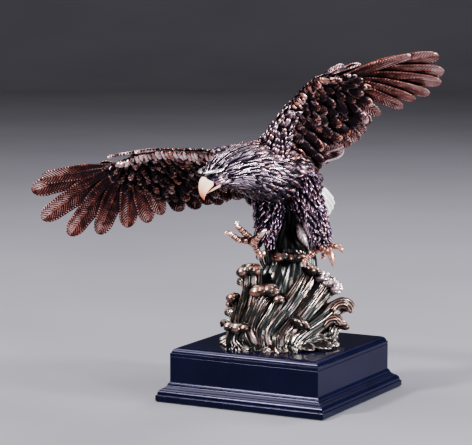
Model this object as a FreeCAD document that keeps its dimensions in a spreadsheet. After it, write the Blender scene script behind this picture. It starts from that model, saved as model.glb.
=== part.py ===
"""Eagle statuette on a stepped plinth, as separate castings, boards, mouldings and fasteners.

Frame: millimetres, +Z up, origin at the middle of the plinth's underside, the plinth's front facing -Y.
The bird faces the front. "Right" and "left" are the bird's own sides, so its right wing is on the -X side.
"""

import FreeCAD, Part
import math
import os
import sys

import Sketcher
from FreeCAD import Placement, Rotation, Vector

doc = FreeCAD.newDocument("eagle_statuette")
sheet = doc.addObject("Spreadsheet::Sheet", "Sizes")
UP = Vector(0, 0, 1)

# ------------------------------------------------------------ driving dimensions, in millimetres

SIZES = {
    # plinth
    "base_side": 170,
    "die_side": 150,
    "plinth_height": 49.5,
    "felt_thick": 1,
    "felt_inset": 1,
    "board_thick": 12,
    "top_thick": 8,
    "top_bevel_in": 7.2,
    "top_bevel_down": 5,
    "panel_thick": 3,
    "mould_height": 17,
    "mould_foot": 6.6,
    "mould_step": 1.7,
    "block_side": 14,
    # fasteners
    "stud_dia": 6,
    "stud_spacing": 44,
    "stud_embed": 18,
    "stud_drop": 9,
    "stud_hole_dia": 6.6,
    "washer_dia": 12,
    "washer_thick": 1.4,
    "nut_radius": 5.8,
    "nut_thick": 5,
    "screw_dia": 3,
    "screw_head": 6,
    "screw_head_high": 1.7,
    "screw_length": 14,
    "screw_inset": 7,
    "armature_dia": 6,
    "wing_pin_dia": 4,
    "wing_pin_length": 24,
    "tail_pin_dia": 3,
    "tail_pin_length": 20,
    "foot_pin_dia": 3,
    "foot_pin_length": 14,
    # castings
    "wave_radius": 46,
    "torso_radius": 23,
    "head_radius": 13.5,
    "thigh_radius": 14,
    "beak_radius": 6.6,
    "toe_radius": 3,
    "feather_thick": 2.6,
    "wing_thick": 9,
    "tail_thick": 8,
    "knob_radius": 4.6,
}

for row, (alias, value) in enumerate(SIZES.items(), start=1):
    sheet.set(f"A{row}", alias)
    sheet.set(f"B{row}", str(value))
    sheet.setAlias(f"B{row}", alias)
doc.recompute()

# Places on the castings, in the row frame. The bird was set out as a pose, so these are its joints.

SPINE = [  # centre, share of the torso's radius
    ((11, 45, 185), 0.30),
    ((10, 35, 191), 0.62),
    ((8, 20, 197), 0.88),
    ((1, 0, 203), 1.02),
    ((-7, -20, 209), 0.97),
    ((-15, -39, 215), 0.82),
    ((-21, -54, 218), 0.69),
    ((-25, -65, 216), 0.61),
    ((-29, -74, 211), 0.54),
    ((-32, -82, 206), 0.34),
]
BEAK = [  # centre, share of the beak's radius
    ((-31.5, -81, 206), 1.0),
    ((-33, -86, 203.5), 0.85),
    ((-34, -89.5, 198), 0.5),
    ((-34, -89.5, 191), 0.14),
]
RIGHT_THIGH = [((-12, 3, 190), 1.05), ((-9, -12, 172), 0.98), ((-9, -21, 157), 0.72), ((-11, -25, 147), 0.42)]
LEFT_THIGH = [((20, 4, 190), 1.1), ((33, 0, 171), 1.0), ((41, -2, 156), 0.72), ((44, -4, 145), 0.45)]

RIGHT_FOOT = (-14, -29, 145)
RIGHT_TOES = {
    "outer": [(-22, -41, 148), (-27, -48, 154), (-31, -52, 153)],
    "middle": [(-18, -37, 154), (-23, -41, 160), (-22, -40, 165)],
    "inner": [(-8, -37, 147), (0, -40, 154), (5, -39, 160)],
    "hind": [(-12, -25, 138), (-11, -21, 132), (-14, -18, 128)],
}
LEFT_FOOT = (44, -4, 140)
LEFT_TOES = {
    "inner": [(38, -13, 136), (34, -18, 130), (35, -18, 124)],
    "middle": [(50, -13, 141), (56, -17, 138), (60, -17, 130)],
    "outer": [(53, -6, 142), (60, -6, 140), (64, -5, 134)],
    "hind": [(43, 4, 137), (40, 9, 132), (38, 9, 127)],
}

RIGHT_BONE = [(-20, -13, 213), (-56, -10, 221), (-91, -12, 222), (-122, -14, 221), (-143, -15, 217), (-160, -15, 207)]
RIGHT_PRIMARY_TIPS = [
    (-238, -36, 192),
    (-248, -37, 180),
    (-242, -29, 152),
    (-221, -14, 136),
    (-196, 0, 137),
    (-171, 11, 144),
    (-152, 18, 149),
]
RIGHT_TRAILING = [(-128, 25, 158), (-100, 30, 164), (-72, 31, 170), (-45, 29, 173)]
LEFT_BONE = [(-3, -17, 229), (11, -17, 249), (24, -18, 267), (38, -17, 282), (51, -18, 293), (65, -18, 295)]
LEFT_PRIMARY_TIPS = [
    (133, -11, 318),
    (155, -1, 318),
    (157, 7, 304),
    (152, 13, 294),
    (139, 18, 283),
    (124, 21, 277),
    (110, 25, 269),
]
LEFT_TRAILING = [(88, 24, 261), (65, 30, 242), (47, 34, 229), (29, 34, 214)]

RIGHT_JOINT = ((-8, -9, 213), (-19, 24, 184))
LEFT_JOINT = ((-3, -14, 221), (15, 26, 203))
PIN_ROWS = (0.12, 0.34)  # where the wing's dowels lie, as shares of the chord

TAIL_ROOT = (10, 38, 190)
TAIL_STOCK = 0.3  # how wide the tail is at its root, as a share of its tips
TAIL_NOTCH = 0.9
TAIL_TIPS = [(17, 90, 178), (15, 96, 171), (10, 99, 164), (3, 99, 158), (-5, 96, 155), (-12, 90, 155), (-18, 82, 157)]

WAVE_TRUNK = [  # centre, share of the wave's radius
    ((0, -8, 49.5), 1.0),
    ((0, -8, 53), 0.95),
    ((1, -6, 68), 0.74),
    ((4, -4, 90), 0.60),
    ((7, -1, 110), 0.47),
    ((7, 2, 126), 0.33),
    ((6, 6, 146), 0.22),
    ((5, 8, 186), 0.20),
]
CRESTS = [  # crest, half width, how many knobs stand along it
    ((19, -6, 128), 9, 3),
    ((32, 6, 118), 8, 2),
    ((-25, -23, 124), 10, 3),
    ((-41, -14, 94), 9, 2),
    ((-36, -38, 70), 12, 3),
    ((4, -40, 106), 14, 4),
    ((36, -36, 72), 11, 2),
    ((60, 20, 86), 10, 2),
    ((46, 22, 102), 12, 3),
    ((43, 34, 72), 11, 2),
    ((14, 36, 114), 12, 3),
    ((-19, 27, 106), 12, 3),
    ((-39, 6, 84), 11, 2),
    ((8, 42, 78), 13, 3),
    ((-28, 34, 70), 12, 3),
]


# ------------------------------------------------------------ helpers


def size(alias):
    """A driving dimension as the sheet holds it."""
    return float(sheet.get(alias))


def bind(obj, prop, expression):
    """Binds a property to the sheet, whose cells the expression names as @alias."""
    obj.setExpression(prop, expression.replace("@", "Sizes."))


def evaluate(expression):
    """The number that an expression of @alias names stands for now."""
    for alias in sorted(SIZES, key=len, reverse=True):
        expression = expression.replace("@" + alias, repr(size(alias)))
    return FreeCAD.Units.Quantity(expression).Value


def vectors(points):
    return [Vector(*p) for p in points]


def origin_plane(body, role):
    return next(f for f in body.Origin.OriginFeatures if f.Role == role)


def new_sketch(body, name, role):
    sketch = body.newObject("Sketcher::SketchObject", name)
    sketch.AttachmentSupport = [(origin_plane(body, role), "")]
    sketch.MapMode = "FlatFace"
    return sketch


def pin_down(sketch, geometry, vertex, x, y):
    """Holds one vertex of a sketch at sheet expressions x and y."""
    for kind, expression in (("DistanceX", x), ("DistanceY", y)):
        constraint = Sketcher.Constraint(kind, geometry, vertex, evaluate(expression))
        index = sketch.addConstraint(constraint)
        bind(sketch, f"Constraints[{index}]", expression)


def add_polygon(sketch, corners):
    """A closed polygon whose corners are pairs of sheet expressions."""
    points = [Vector(evaluate(x), evaluate(y), 0) for x, y in corners]
    count = len(points)
    first = sketch.GeometryCount
    for i in range(count):
        sketch.addGeometry(Part.LineSegment(points[i], points[(i + 1) % count]), False)
    for i in range(count):
        after = first + (i + 1) % count
        sketch.addConstraint(Sketcher.Constraint("Coincident", first + i, 2, after, 1))
        pin_down(sketch, first + i, 1, *corners[i])


def add_circle(sketch, x, y, radius):
    centre = Vector(evaluate(x), evaluate(y), 0)
    index = sketch.addGeometry(Part.Circle(centre, UP, evaluate(radius)), False)
    pin_down(sketch, index, 3, x, y)
    constraint = sketch.addConstraint(Sketcher.Constraint("Radius", index, evaluate(radius)))
    bind(sketch, f"Constraints[{constraint}]", radius)


def square(half):
    return [(f"-({half})", f"-({half})"), (half, f"-({half})"), (half, half), (f"-({half})", half)]


def pad(body, sketch, length, midplane=False):
    feature = body.newObject("PartDesign::Pad", body.Label + "_pad")
    feature.Profile = sketch
    feature.Midplane = midplane
    bind(feature, "Length", length)
    body.Tip = feature
    doc.recompute()
    return feature


def pocket_through(body, sketch):
    """Cuts a sketch right through, and stops the build if nothing came off."""
    before = body.Shape.Volume
    feature = body.newObject("PartDesign::Pocket", body.Label + "_pocket")
    feature.Profile = sketch
    feature.Type = "ThroughAll"
    feature.Midplane = True
    body.Tip = feature
    doc.recompute()
    assert body.Shape.Volume < before - 1, body.Label
    return feature


def edges_where(shape, test):
    return [f"Edge{i}" for i, edge in enumerate(shape.Edges, start=1) if test(edge)]


def new_body(label):
    return doc.addObject("PartDesign::Body", label)


def part(kind, label, **bound):
    """A Part primitive with its sizes bound to sheet expressions."""
    obj = doc.addObject("Part::" + kind, label)
    for prop, expression in bound.items():
        bind(obj, prop, expression)
    return obj


def along(start, end):
    """A placement at start whose Z axis points at end."""
    return Placement(Vector(*start), Rotation(UP, Vector(*end) - Vector(*start)))


def compound(label, objects):
    group = doc.addObject("Part::Compound", label)
    group.Links = objects
    return group


def fuse(label, objects):
    joined = doc.addObject("Part::MultiFuse", label)
    joined.Shapes = objects
    return joined


def cut(label, base, tools):
    """Base less every tool."""
    tool = tools[0] if len(tools) == 1 else fuse(label + "_tools", tools)
    result = doc.addObject("Part::Cut", label)
    result.Base = base
    result.Tool = tool
    return result


def ellipse_loft(label, centres, widths, heights, across):
    """A solid lofted through ellipses. Widths and heights are sheet expressions for the full axes."""
    sections = []
    last = len(centres) - 1
    for i, centre in enumerate(centres):
        forward = (centres[min(i + 1, last)] - centres[max(i - 1, 0)]).normalize()
        side = across[i] if isinstance(across, list) else across
        side = (side - forward * side.dot(forward)).normalize()
        section = part("Ellipse", f"{label}_s{i}", MajorRadius=widths[i], MinorRadius=heights[i])
        turn = Rotation(side, forward.cross(side), forward, "ZXY")
        section.Placement = Placement(centre, turn)
        sections.append(section)
    loft = doc.addObject("Part::Loft", label)
    loft.Sections = sections
    loft.Solid = True
    return loft


def round_loft(label, stations, radius, flat=0.96):
    """A loft of nearly round sections, each station giving a centre and a share of one radius."""
    centres = vectors(p for p, _ in stations)
    widths = [f"{radius} * {share}" for _, share in stations]
    heights = [f"{radius} * {share} * {flat}" for _, share in stations]
    return ellipse_loft(label, centres, widths, heights, Vector(1, 0, 0.05))


def curve_through(points):
    """Gives the point at a share of the way along a smooth curve through points."""
    curve = Part.BSplineCurve()
    curve.interpolate(vectors(points))
    low, high = curve.FirstParameter, curve.LastParameter
    return lambda share: curve.value(low + (high - low) * share)


# ------------------------------------------------------------ plinth


def felt_sheet():
    body = new_body("felt_sheet")
    sketch = new_sketch(body, "felt_outline", "XY_Plane")
    add_polygon(sketch, square("@base_side / 2 - @felt_inset"))
    pad(body, sketch, "@felt_thick")
    return body


def plinth_wall(side, turn):
    """One mitred board of the plinth's die."""
    body = new_body(f"plinth_wall_{side}")
    sketch = new_sketch(body, f"wall_{side}_plan", "XY_Plane")
    outer, inner = "@die_side / 2", "@die_side / 2 - @board_thick"
    corners = [
        (f"-({outer})", f"-({outer})"),
        (outer, f"-({outer})"),
        (inner, f"-({inner})"),
        (f"-({inner})", f"-({inner})"),
    ]
    add_polygon(sketch, corners)
    pad(body, sketch, "@plinth_height - @top_thick - @felt_thick")
    body.Placement = Placement(Vector(0, 0, size("felt_thick")), Rotation(UP, turn))
    return body


def base_moulding(side, turn):
    """One mitred strip: a plain foot, a step and a quarter round that meets the die."""
    body = new_body(f"base_moulding_{side}")
    profile = new_sketch(body, f"moulding_{side}_profile", "YZ_Plane")
    outer, wall = "-(@base_side / 2)", "-(@die_side / 2)"
    corners = [
        (outer, "0 * @mould_foot"),
        (wall, "0 * @mould_foot"),
        (wall, "@mould_height"),
        (f"{outer} + @mould_step", "@mould_height"),
        (f"{outer} + @mould_step", "@mould_foot"),
        (outer, "@mould_foot"),
    ]
    add_polygon(profile, corners)
    strip = pad(body, profile, "@base_side", midplane=True)
    crown = size("mould_height")
    front = -size("base_side") / 2 + size("mould_step")

    def is_crown(edge):
        middle = edge.CenterOfMass
        return abs(middle.z - crown) < 0.01 and abs(middle.y - front) < 0.01

    fillet = body.newObject("PartDesign::Fillet", f"moulding_{side}_round")
    fillet.Base = (strip, edges_where(strip.Shape, is_crown))
    bind(fillet, "Radius", "(@base_side - @die_side) / 2 - @mould_step - 0.2")
    body.Tip = fillet
    doc.recompute()
    mitre = new_sketch(body, f"moulding_{side}_mitres", "XY_Plane")
    for sign in ("-", ""):
        far, near = "(@base_side / 2 + 1)", "(@die_side / 2 - 1)"
        triangle = [
            (f"{sign}{far}", f"-{far}"),
            (f"{sign}{near}", f"-{near}"),
            (f"{sign}{far}", f"-{near}"),
        ]
        add_polygon(mitre, triangle)
    pocket_through(body, mitre)
    body.Placement = Placement(Vector(0, 0, size("felt_thick")), Rotation(UP, turn))
    return body


def top_board():
    body = new_body("top_board")
    outline = new_sketch(body, "top_outline", "XY_Plane")
    add_polygon(outline, square("@die_side / 2"))
    board = pad(body, outline, "@top_thick")
    top = size("top_thick")
    chamfer = body.newObject("PartDesign::Chamfer", "top_chamfer")
    chamfer.Base = (board, edges_where(board.Shape, lambda e: abs(e.CenterOfMass.z - top) < 0.01))
    chamfer.ChamferType = "Two distances"
    bind(chamfer, "Size", "@top_bevel_in")
    bind(chamfer, "Size2", "@top_bevel_down")
    body.Tip = chamfer
    doc.recompute()
    holes = new_sketch(body, "stud_holes", "XY_Plane")
    for sign in ("-", ""):
        add_circle(holes, f"{sign}@stud_spacing / 2", "0 * @stud_spacing", "@stud_hole_dia / 2")
    pocket_through(body, holes)
    body.Placement.Base.z = size("plinth_height") - size("top_thick")
    return body


def screw_corners():
    reach = size("die_side") / 2 - size("board_thick") - size("screw_inset")
    return [(sx * reach, sy * reach) for sx in (-1, 1) for sy in (-1, 1)]


def screw_solid(label, x, y):
    """A countersunk wood screw, head down in the bottom panel."""
    head = part("Cone", label + "_head", Radius1="@screw_head / 2", Radius2="@screw_dia / 2")
    bind(head, "Height", "@screw_head_high")
    shank = part("Cylinder", label + "_shank", Radius="@screw_dia / 2", Height="@screw_length")
    for piece in (head, shank):
        piece.Placement.Base = Vector(x, y, size("felt_thick"))
    return fuse(label, [head, shank])


def bottom_assembly():
    """The inner panel, the glue blocks in the corners and the screws that hold one to the other."""
    body = new_body("panel_blank")
    sketch = new_sketch(body, "panel_outline", "XY_Plane")
    add_polygon(sketch, square("@die_side / 2 - @board_thick"))
    pad(body, sketch, "@panel_thick")
    body.Placement.Base.z = size("felt_thick")
    screws = compound("panel_screws", [screw_solid(f"screw_{i}", x, y) for i, (x, y) in enumerate(screw_corners())])
    panel = cut("bottom_panel", body, [screws])
    blocks = []
    inner = size("die_side") / 2 - size("board_thick")
    low = size("felt_thick") + size("panel_thick")
    for i, (sx, sy) in enumerate([(-1, -1), (-1, 1), (1, -1), (1, 1)]):
        block = part("Box", f"block_{i}", Length="@block_side", Width="@block_side")
        bind(block, "Height", "@plinth_height - @top_thick - @felt_thick - @panel_thick")
        x = -inner if sx < 0 else inner - size("block_side")
        y = -inner if sy < 0 else inner - size("block_side")
        block.Placement.Base = Vector(x, y, low)
        blocks.append(block)
    glue_blocks = cut("glue_blocks", compound("block_blanks", blocks), [screws])
    return [panel, screws, glue_blocks]


# ------------------------------------------------------------ fasteners and pins


def stud_places():
    return [Vector(sign * size("stud_spacing") / 2, 0, 0) for sign in (-1, 1)]


def base_fasteners():
    """Two studs cast into the wave, each clamped under the top board by a washer and a hexagon nut."""
    under = size("plinth_height") - size("top_thick")
    groups = {"base_studs": [], "stud_washers": [], "stud_nuts": []}
    for i, place in enumerate(stud_places()):
        stud = part("Cylinder", f"stud_{i}", Radius="@stud_dia / 2")
        bind(stud, "Height", "@stud_embed + @top_thick + @stud_drop")
        stud.Placement.Base = place + UP * (under - size("stud_drop"))
        groups["base_studs"].append(stud)
        disc = part("Cylinder", f"washer_disc_{i}", Radius="@washer_dia / 2", Height="@washer_thick")
        disc.Placement.Base = place + UP * (under - size("washer_thick"))
        groups["stud_washers"].append(cut(f"washer_{i}", disc, [stud]))
        hexagon = part("Prism", f"nut_blank_{i}", Circumradius="@nut_radius", Height="@nut_thick")
        hexagon.Placement.Base = place + UP * (under - size("washer_thick") - size("nut_thick"))
        groups["stud_nuts"].append(cut(f"nut_{i}", hexagon, [stud]))
    return {label: compound(label, solids) for label, solids in groups.items()}


def pin(label, start, end, diameter, length):
    obj = part("Cylinder", label, Radius=f"@{diameter} / 2")
    bind(obj, "Height", f"@{length}")
    obj.Placement = along(start, end)
    return obj


def wing_pins(side, lines):
    """Two dowels that run from inside the body out along the wing."""
    solids = []
    for i, row in enumerate(PIN_ROWS):
        start, end = [sum(fan_line(line, row, 0, 0, WING_BOW), Vector()) * 0.5 for line in (lines[-1], lines[-5])]
        solids.append(pin(f"{side}_pin_{i}", start, end, "wing_pin_dia", "wing_pin_length"))
    return compound(f"{side}_wing_pins", solids)


# ------------------------------------------------------------ castings

ROW_SHARES = [-0.04, 0.0, 0.3, 0.65, 1.0]  # rows of points from the leading edge to the feather tips
SIDE_CUT = 0.95  # how far a feather reaches a quarter of its width off its middle
WRIST_SHARE = 0.76  # how far along the bone the hand starts
ARM_SHARES = [0.66, 0.5, 0.34, 0.18]
NOTCH_AT_TIP = 0.6  # how far the blade reaches between two feathers, out at the hand
NOTCH_AT_ARM = 0.93  # and along the arm
WING_BOW = 0.05  # camber, as a share of the chord


def fan_line(line, row, thick, thin, bow):
    """The upper and lower point of a fan's row on one of its lines."""
    root, tip, reach, back = line
    chord = tip - root
    share = max(row, 0.0)
    centre = root + chord * (row * reach) + back * (chord.Length * bow * 4 * share * (1 - share))
    half = thin / 2 + (thick - thin) / 2 * (1 - share) ** 2
    if row < 0:
        half = thin / 2
    return centre + back * half, centre - back * half


def between(points, place):
    """The point at a fractional place in a list of points."""
    low = min(int(place), len(points) - 2)
    return points[low] + (points[low + 1] - points[low]) * (place - low)


def fan_lines(roots, tips, notches, behind):
    """Four lines a feather: its middle, its two quarters and the notch before the next one."""
    lines = []
    last = len(tips) - 1
    for quarter in range(4 * last + 1):
        place = quarter / 4
        reach = (1.0, SIDE_CUT, notches[min(int(place), last - 1)], SIDE_CUT)[quarter % 4]
        across = between(tips, min(place + 0.5, last)) - between(tips, max(place - 0.5, 0))
        root, tip = between(roots, place), between(tips, place)
        back = (tip - root).cross(across).normalize()
        if back.dot(behind) < 0:
            back = back * -1
        lines.append((root, tip, reach, back))
    return lines


def triangle(a, b, c):
    return Part.Face(Part.makePolygon([a, b, c, a]))


def skin(grid, faces):
    """Adds the triangles between neighbouring rows of points."""
    for one, two in zip(grid, grid[1:]):
        for k in range(len(one) - 1):
            faces.append(triangle(one[k], two[k], two[k + 1]))
            faces.append(triangle(one[k], two[k + 1], one[k + 1]))


def fan_casting(label, lines, thick, thin, bow):
    """A thin cambered casting with a scalloped edge. No extrusion or loft makes one, so it's sewn of facets."""
    upper, lower = [], []
    for line in lines:
        pairs = [fan_line(line, row, thick, thin, bow) for row in ROW_SHARES]
        upper.append([pair[0] for pair in pairs])
        lower.append([pair[1] for pair in pairs])
    faces = []
    skin(upper, faces)
    skin(lower, faces)
    for edge in (0, -1):
        skin([[row[edge] for row in upper], [row[edge] for row in lower]], faces)
        skin([upper[edge], lower[edge]], faces)
    shell = Part.makeShell(faces)
    shell.sewShape()
    solid = Part.makeSolid(shell)
    if solid.Volume < 0:
        solid.reverse()
    casting = doc.addObject("Part::Feature", label)
    casting.Shape = solid
    return casting


def wing_lines(bone_points, primary_tips, trailing_points, joint):
    """The lines of a wing from its outermost primary in to its joint, whose end lies inside the body."""
    bone = curve_through(bone_points)
    hand = len(primary_tips)
    shares = [1 - (1 - WRIST_SHARE) * i / (hand - 1) for i in range(hand)] + ARM_SHARES
    roots = [bone(share) for share in shares] + [Vector(*joint[0])]
    tips = vectors(primary_tips + trailing_points + [joint[1]])
    notches = []
    for i in range(len(tips) - 1):
        notches.append(min(NOTCH_AT_ARM, NOTCH_AT_TIP + (NOTCH_AT_ARM - NOTCH_AT_TIP) * i / hand))
    return fan_lines(roots, tips, notches, Vector(0, 1, 0.6))


def wing(side, lines):
    return fan_casting(f"{side}_wing_whole", lines, size("wing_thick"), size("feather_thick"), WING_BOW)


def toe(label, foot, joints):
    """A toe and its talon as one tapering, hooked solid."""
    points = [Vector(*foot)] + vectors(joints)
    shares = [1.25, 1.0, 0.8, 0.22]
    widths = [f"@toe_radius * {share}" for share in shares]
    heights = [f"@toe_radius * {share} * 0.9" for share in shares]
    return ellipse_loft(label, points, widths, heights, Vector(1, 0.2, 0))


def foot(side, centre, toes):
    ankle = part("Sphere", f"{side}_ankle", Radius="@toe_radius * 1.7")
    ankle.Placement.Base = Vector(*centre)
    claws = [toe(f"{side}_{name}_toe", centre, joints) for name, joints in toes.items()]
    return fuse(f"{side}_foot_whole", [ankle] + claws)


def tail():
    """A short fan of feathers under the rump."""
    root = Vector(*TAIL_ROOT)
    tips = vectors(TAIL_TIPS)
    middle = tips[len(tips) // 2]
    roots = [root + (tip - middle) * TAIL_STOCK for tip in tips]
    lines = fan_lines(roots, tips, [TAIL_NOTCH] * (len(tips) - 1), UP)
    return fan_casting("tail_whole", lines, size("tail_thick"), size("feather_thick"), WING_BOW)


CREST_WIDTHS = [0.85, 0.95, 1.0, 0.6]
CREST_DEPTHS = [0.8, 0.62, 0.45, 0.3]


def crest(index, top, half_width, knobs):
    """A tongue of water that climbs the trunk, leans out to its crest and ends in round knobs."""
    top = Vector(*top)
    axis = Vector(*WAVE_TRUNK[2][0])
    outward = Vector(top.x - axis.x, top.y - axis.y, 0)
    reach = outward.Length
    outward.normalize()
    sideways = UP.cross(outward)
    ground = size("plinth_height")
    height = top.z - ground
    centres = [
        Vector(axis.x, axis.y, ground + height * 0.12) + outward * (reach * 0.5),
        Vector(axis.x, axis.y, ground + height * 0.6) + outward * (reach * 0.66),
        top - UP * 3,
        top + outward * 2.5 - UP * 4,
    ]
    widths = [str(half_width * share) for share in CREST_WIDTHS]
    heights = [str(half_width * share) for share in CREST_DEPTHS]
    pieces = [ellipse_loft(f"crest_{index}", centres, widths, heights, sideways)]
    for k in range(knobs):
        share = (k + 0.5) / knobs * 2 - 1
        ball = part("Sphere", f"crest_{index}_knob_{k}", Radius="@knob_radius")
        ball.Placement.Base = top + sideways * (share * half_width * 0.85) + outward * 1.5 - UP * 1.5
        pieces.append(ball)
    return pieces


def wave_base():
    pieces = [round_loft("wave_trunk", WAVE_TRUNK, "@wave_radius")]
    for index, (top, half_width, knobs) in enumerate(CRESTS):
        pieces += crest(index, top, half_width, knobs)
    return fuse("wave_whole", pieces)


def bird_body():
    spine = round_loft("spine", SPINE, "@torso_radius")
    right = round_loft("right_thigh", RIGHT_THIGH, "@thigh_radius")
    left = round_loft("left_thigh", LEFT_THIGH, "@thigh_radius")
    return fuse("body_whole", [spine, right, left])


# ------------------------------------------------------------ assembly


def build():
    """Makes every sub-part and returns them by node name."""
    nodes = {"felt_sheet": felt_sheet()}
    for i, side in enumerate(("front", "right", "back", "left")):
        nodes[f"plinth_wall_{side}"] = plinth_wall(side, 90 * i)
        nodes[f"base_moulding_{side}"] = base_moulding(side, 90 * i)
    nodes["top_board"] = top_board()
    nodes["bottom_panel"], nodes["panel_screws"], nodes["glue_blocks"] = bottom_assembly()
    nodes.update(base_fasteners())

    rod = pin("armature_rod", (5, 8, 100), (5, 8, 200), "armature_dia", "armature_dia")
    bind(rod, "Height", "@plinth_height * 2")
    right_lines = wing_lines(RIGHT_BONE, RIGHT_PRIMARY_TIPS, RIGHT_TRAILING, RIGHT_JOINT)
    left_lines = wing_lines(LEFT_BONE, LEFT_PRIMARY_TIPS, LEFT_TRAILING, LEFT_JOINT)
    right_pins = wing_pins("right", right_lines)
    left_pins = wing_pins("left", left_lines)
    tail_pin = pin("tail_pin", (10, 28, 193), (8, 48, 187), "tail_pin_dia", "tail_pin_length")
    right_foot_pin = pin("right_foot_pin", (-10, -22, 156), RIGHT_FOOT, "foot_pin_dia", "foot_pin_length")
    left_foot_pin = pin("left_foot_pin", (42, -3, 154), LEFT_FOOT, "foot_pin_dia", "foot_pin_length")
    nodes["armature_rod"] = rod
    nodes["right_wing_pins"] = right_pins
    nodes["left_wing_pins"] = left_pins
    nodes["tail_pin"] = tail_pin
    nodes["right_foot_pin"] = right_foot_pin
    nodes["left_foot_pin"] = left_foot_pin

    body = bird_body()
    beak = round_loft("beak_whole", BEAK, "@beak_radius", 1.0)
    right_foot = foot("right", RIGHT_FOOT, RIGHT_TOES)
    left_foot = foot("left", LEFT_FOOT, LEFT_TOES)
    all_pins = [rod, right_pins, left_pins, tail_pin, right_foot_pin, left_foot_pin]
    nodes["eagle_body"] = cut("eagle_body", body, all_pins)
    nodes["beak"] = cut("beak", beak, [body])
    nodes["right_wing"] = cut("right_wing", wing("right", right_lines), [body, right_pins])
    nodes["left_wing"] = cut("left_wing", wing("left", left_lines), [body, left_pins])
    nodes["tail"] = cut("tail", tail(), [body, tail_pin])
    nodes["right_foot"] = cut("right_foot", right_foot, [body, right_foot_pin])
    nodes["left_foot"] = cut("left_foot", left_foot, [body, left_foot_pin])
    studs = nodes["base_studs"]
    nodes["wave_base"] = cut("wave_base", wave_base(), [body, right_foot, left_foot, rod, studs])
    return nodes


def check(nodes):
    """Stops the build if an object failed or a sub-part isn't made of valid solids."""
    doc.recompute()
    failed = [o.Label for o in doc.Objects if "Invalid" in o.State or "Error" in o.State]
    if failed:
        sys.exit(f"failed objects: {failed}")
    for joined in doc.findObjects("Part::MultiFuse"):
        largest = max(member.Shape.Volume for member in joined.Shapes)
        if joined.Shape.Volume < largest - 1:
            sys.exit(f"{joined.Label} lost material when its pieces were joined")
    for label, obj in nodes.items():
        shape = obj.Shape
        if shape.isNull() or not shape.isValid() or not shape.Solids:
            sys.exit(f"{label} has no valid solid")


nodes = build()
check(nodes)
os.makedirs("parts", exist_ok=True)
for label, obj in nodes.items():
    obj.Label = label
    obj.Shape.exportStep(f"parts/{label}.step")
    print(label, len(obj.Shape.Solids), round(obj.Shape.Volume))
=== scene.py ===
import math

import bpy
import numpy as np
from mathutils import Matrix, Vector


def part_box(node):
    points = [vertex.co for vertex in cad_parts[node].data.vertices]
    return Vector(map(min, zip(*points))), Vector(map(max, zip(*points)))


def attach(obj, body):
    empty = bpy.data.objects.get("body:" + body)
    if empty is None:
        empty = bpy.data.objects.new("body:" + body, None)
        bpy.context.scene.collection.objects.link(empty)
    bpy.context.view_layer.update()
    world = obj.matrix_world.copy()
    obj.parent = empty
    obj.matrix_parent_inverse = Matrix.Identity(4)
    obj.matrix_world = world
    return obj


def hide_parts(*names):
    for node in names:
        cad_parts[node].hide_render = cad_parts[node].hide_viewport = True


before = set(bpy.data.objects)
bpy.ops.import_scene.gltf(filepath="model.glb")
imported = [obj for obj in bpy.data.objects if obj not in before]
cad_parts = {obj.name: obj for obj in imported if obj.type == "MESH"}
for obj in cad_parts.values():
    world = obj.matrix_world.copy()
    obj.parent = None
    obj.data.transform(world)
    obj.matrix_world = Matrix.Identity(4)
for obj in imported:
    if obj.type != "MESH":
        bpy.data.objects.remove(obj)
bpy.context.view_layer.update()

# Eagle statuette: a patinated bronze bird landing above a curling wave, on a stepped black plinth.
# Sculpting is done in millimetres in the model's own frame and turned into metres when a mesh is made.
# "Right" and "left" are the bird's own sides: its right wing is on the -X side, and it flies toward -Y.

MM = 0.001
UP = np.array([0.0, 0.0, 1.0])


# ------------------------------------------------------------ vectors and curves


def unit(v):
    v = np.asarray(v, float)
    return v / np.maximum(np.linalg.norm(v, axis=-1, keepdims=True), 1e-9)


def curve(points, share):
    """Values at shares 0 to 1 of the way along a smooth curve through the given points or numbers."""
    p = np.asarray(points, float)
    flat = p.ndim == 1
    if flat:
        p = p[:, None]
    spans = len(p) - 1
    p = np.vstack([2 * p[0] - p[1], p, 2 * p[-1] - p[-2]])
    x = np.clip(np.atleast_1d(np.asarray(share, float)), 0, 1) * spans
    i = np.minimum(x.astype(int), spans - 1)
    f = (x - i)[:, None]
    a, b, c, d = p[i], p[i + 1], p[i + 2], p[i + 3]
    value = 0.5 * (2 * b + (c - a) * f + (2 * a - 5 * b + 4 * c - d) * f**2 + (3 * b - a - 3 * c + d) * f**3)
    return value[:, 0] if flat else value


def ramp(x, low, high):
    """0 at low, 1 at high, smooth in between."""
    t = np.clip((np.asarray(x, float) - low) / (high - low), 0, 1)
    return t * t * (3 - 2 * t)


def bump(x, middle, width):
    """1 at the middle, falling away smoothly on both sides."""
    return np.exp(-(((np.asarray(x, float) - middle) / width) ** 2))


def spin(v, axis, degrees):
    """A vector turned about a unit axis."""
    a = math.radians(degrees)
    return v * math.cos(a) + np.cross(axis, v) * math.sin(a) + axis * np.dot(axis, v) * (1 - math.cos(a))


# ------------------------------------------------------------ gathering shells into meshes


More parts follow.
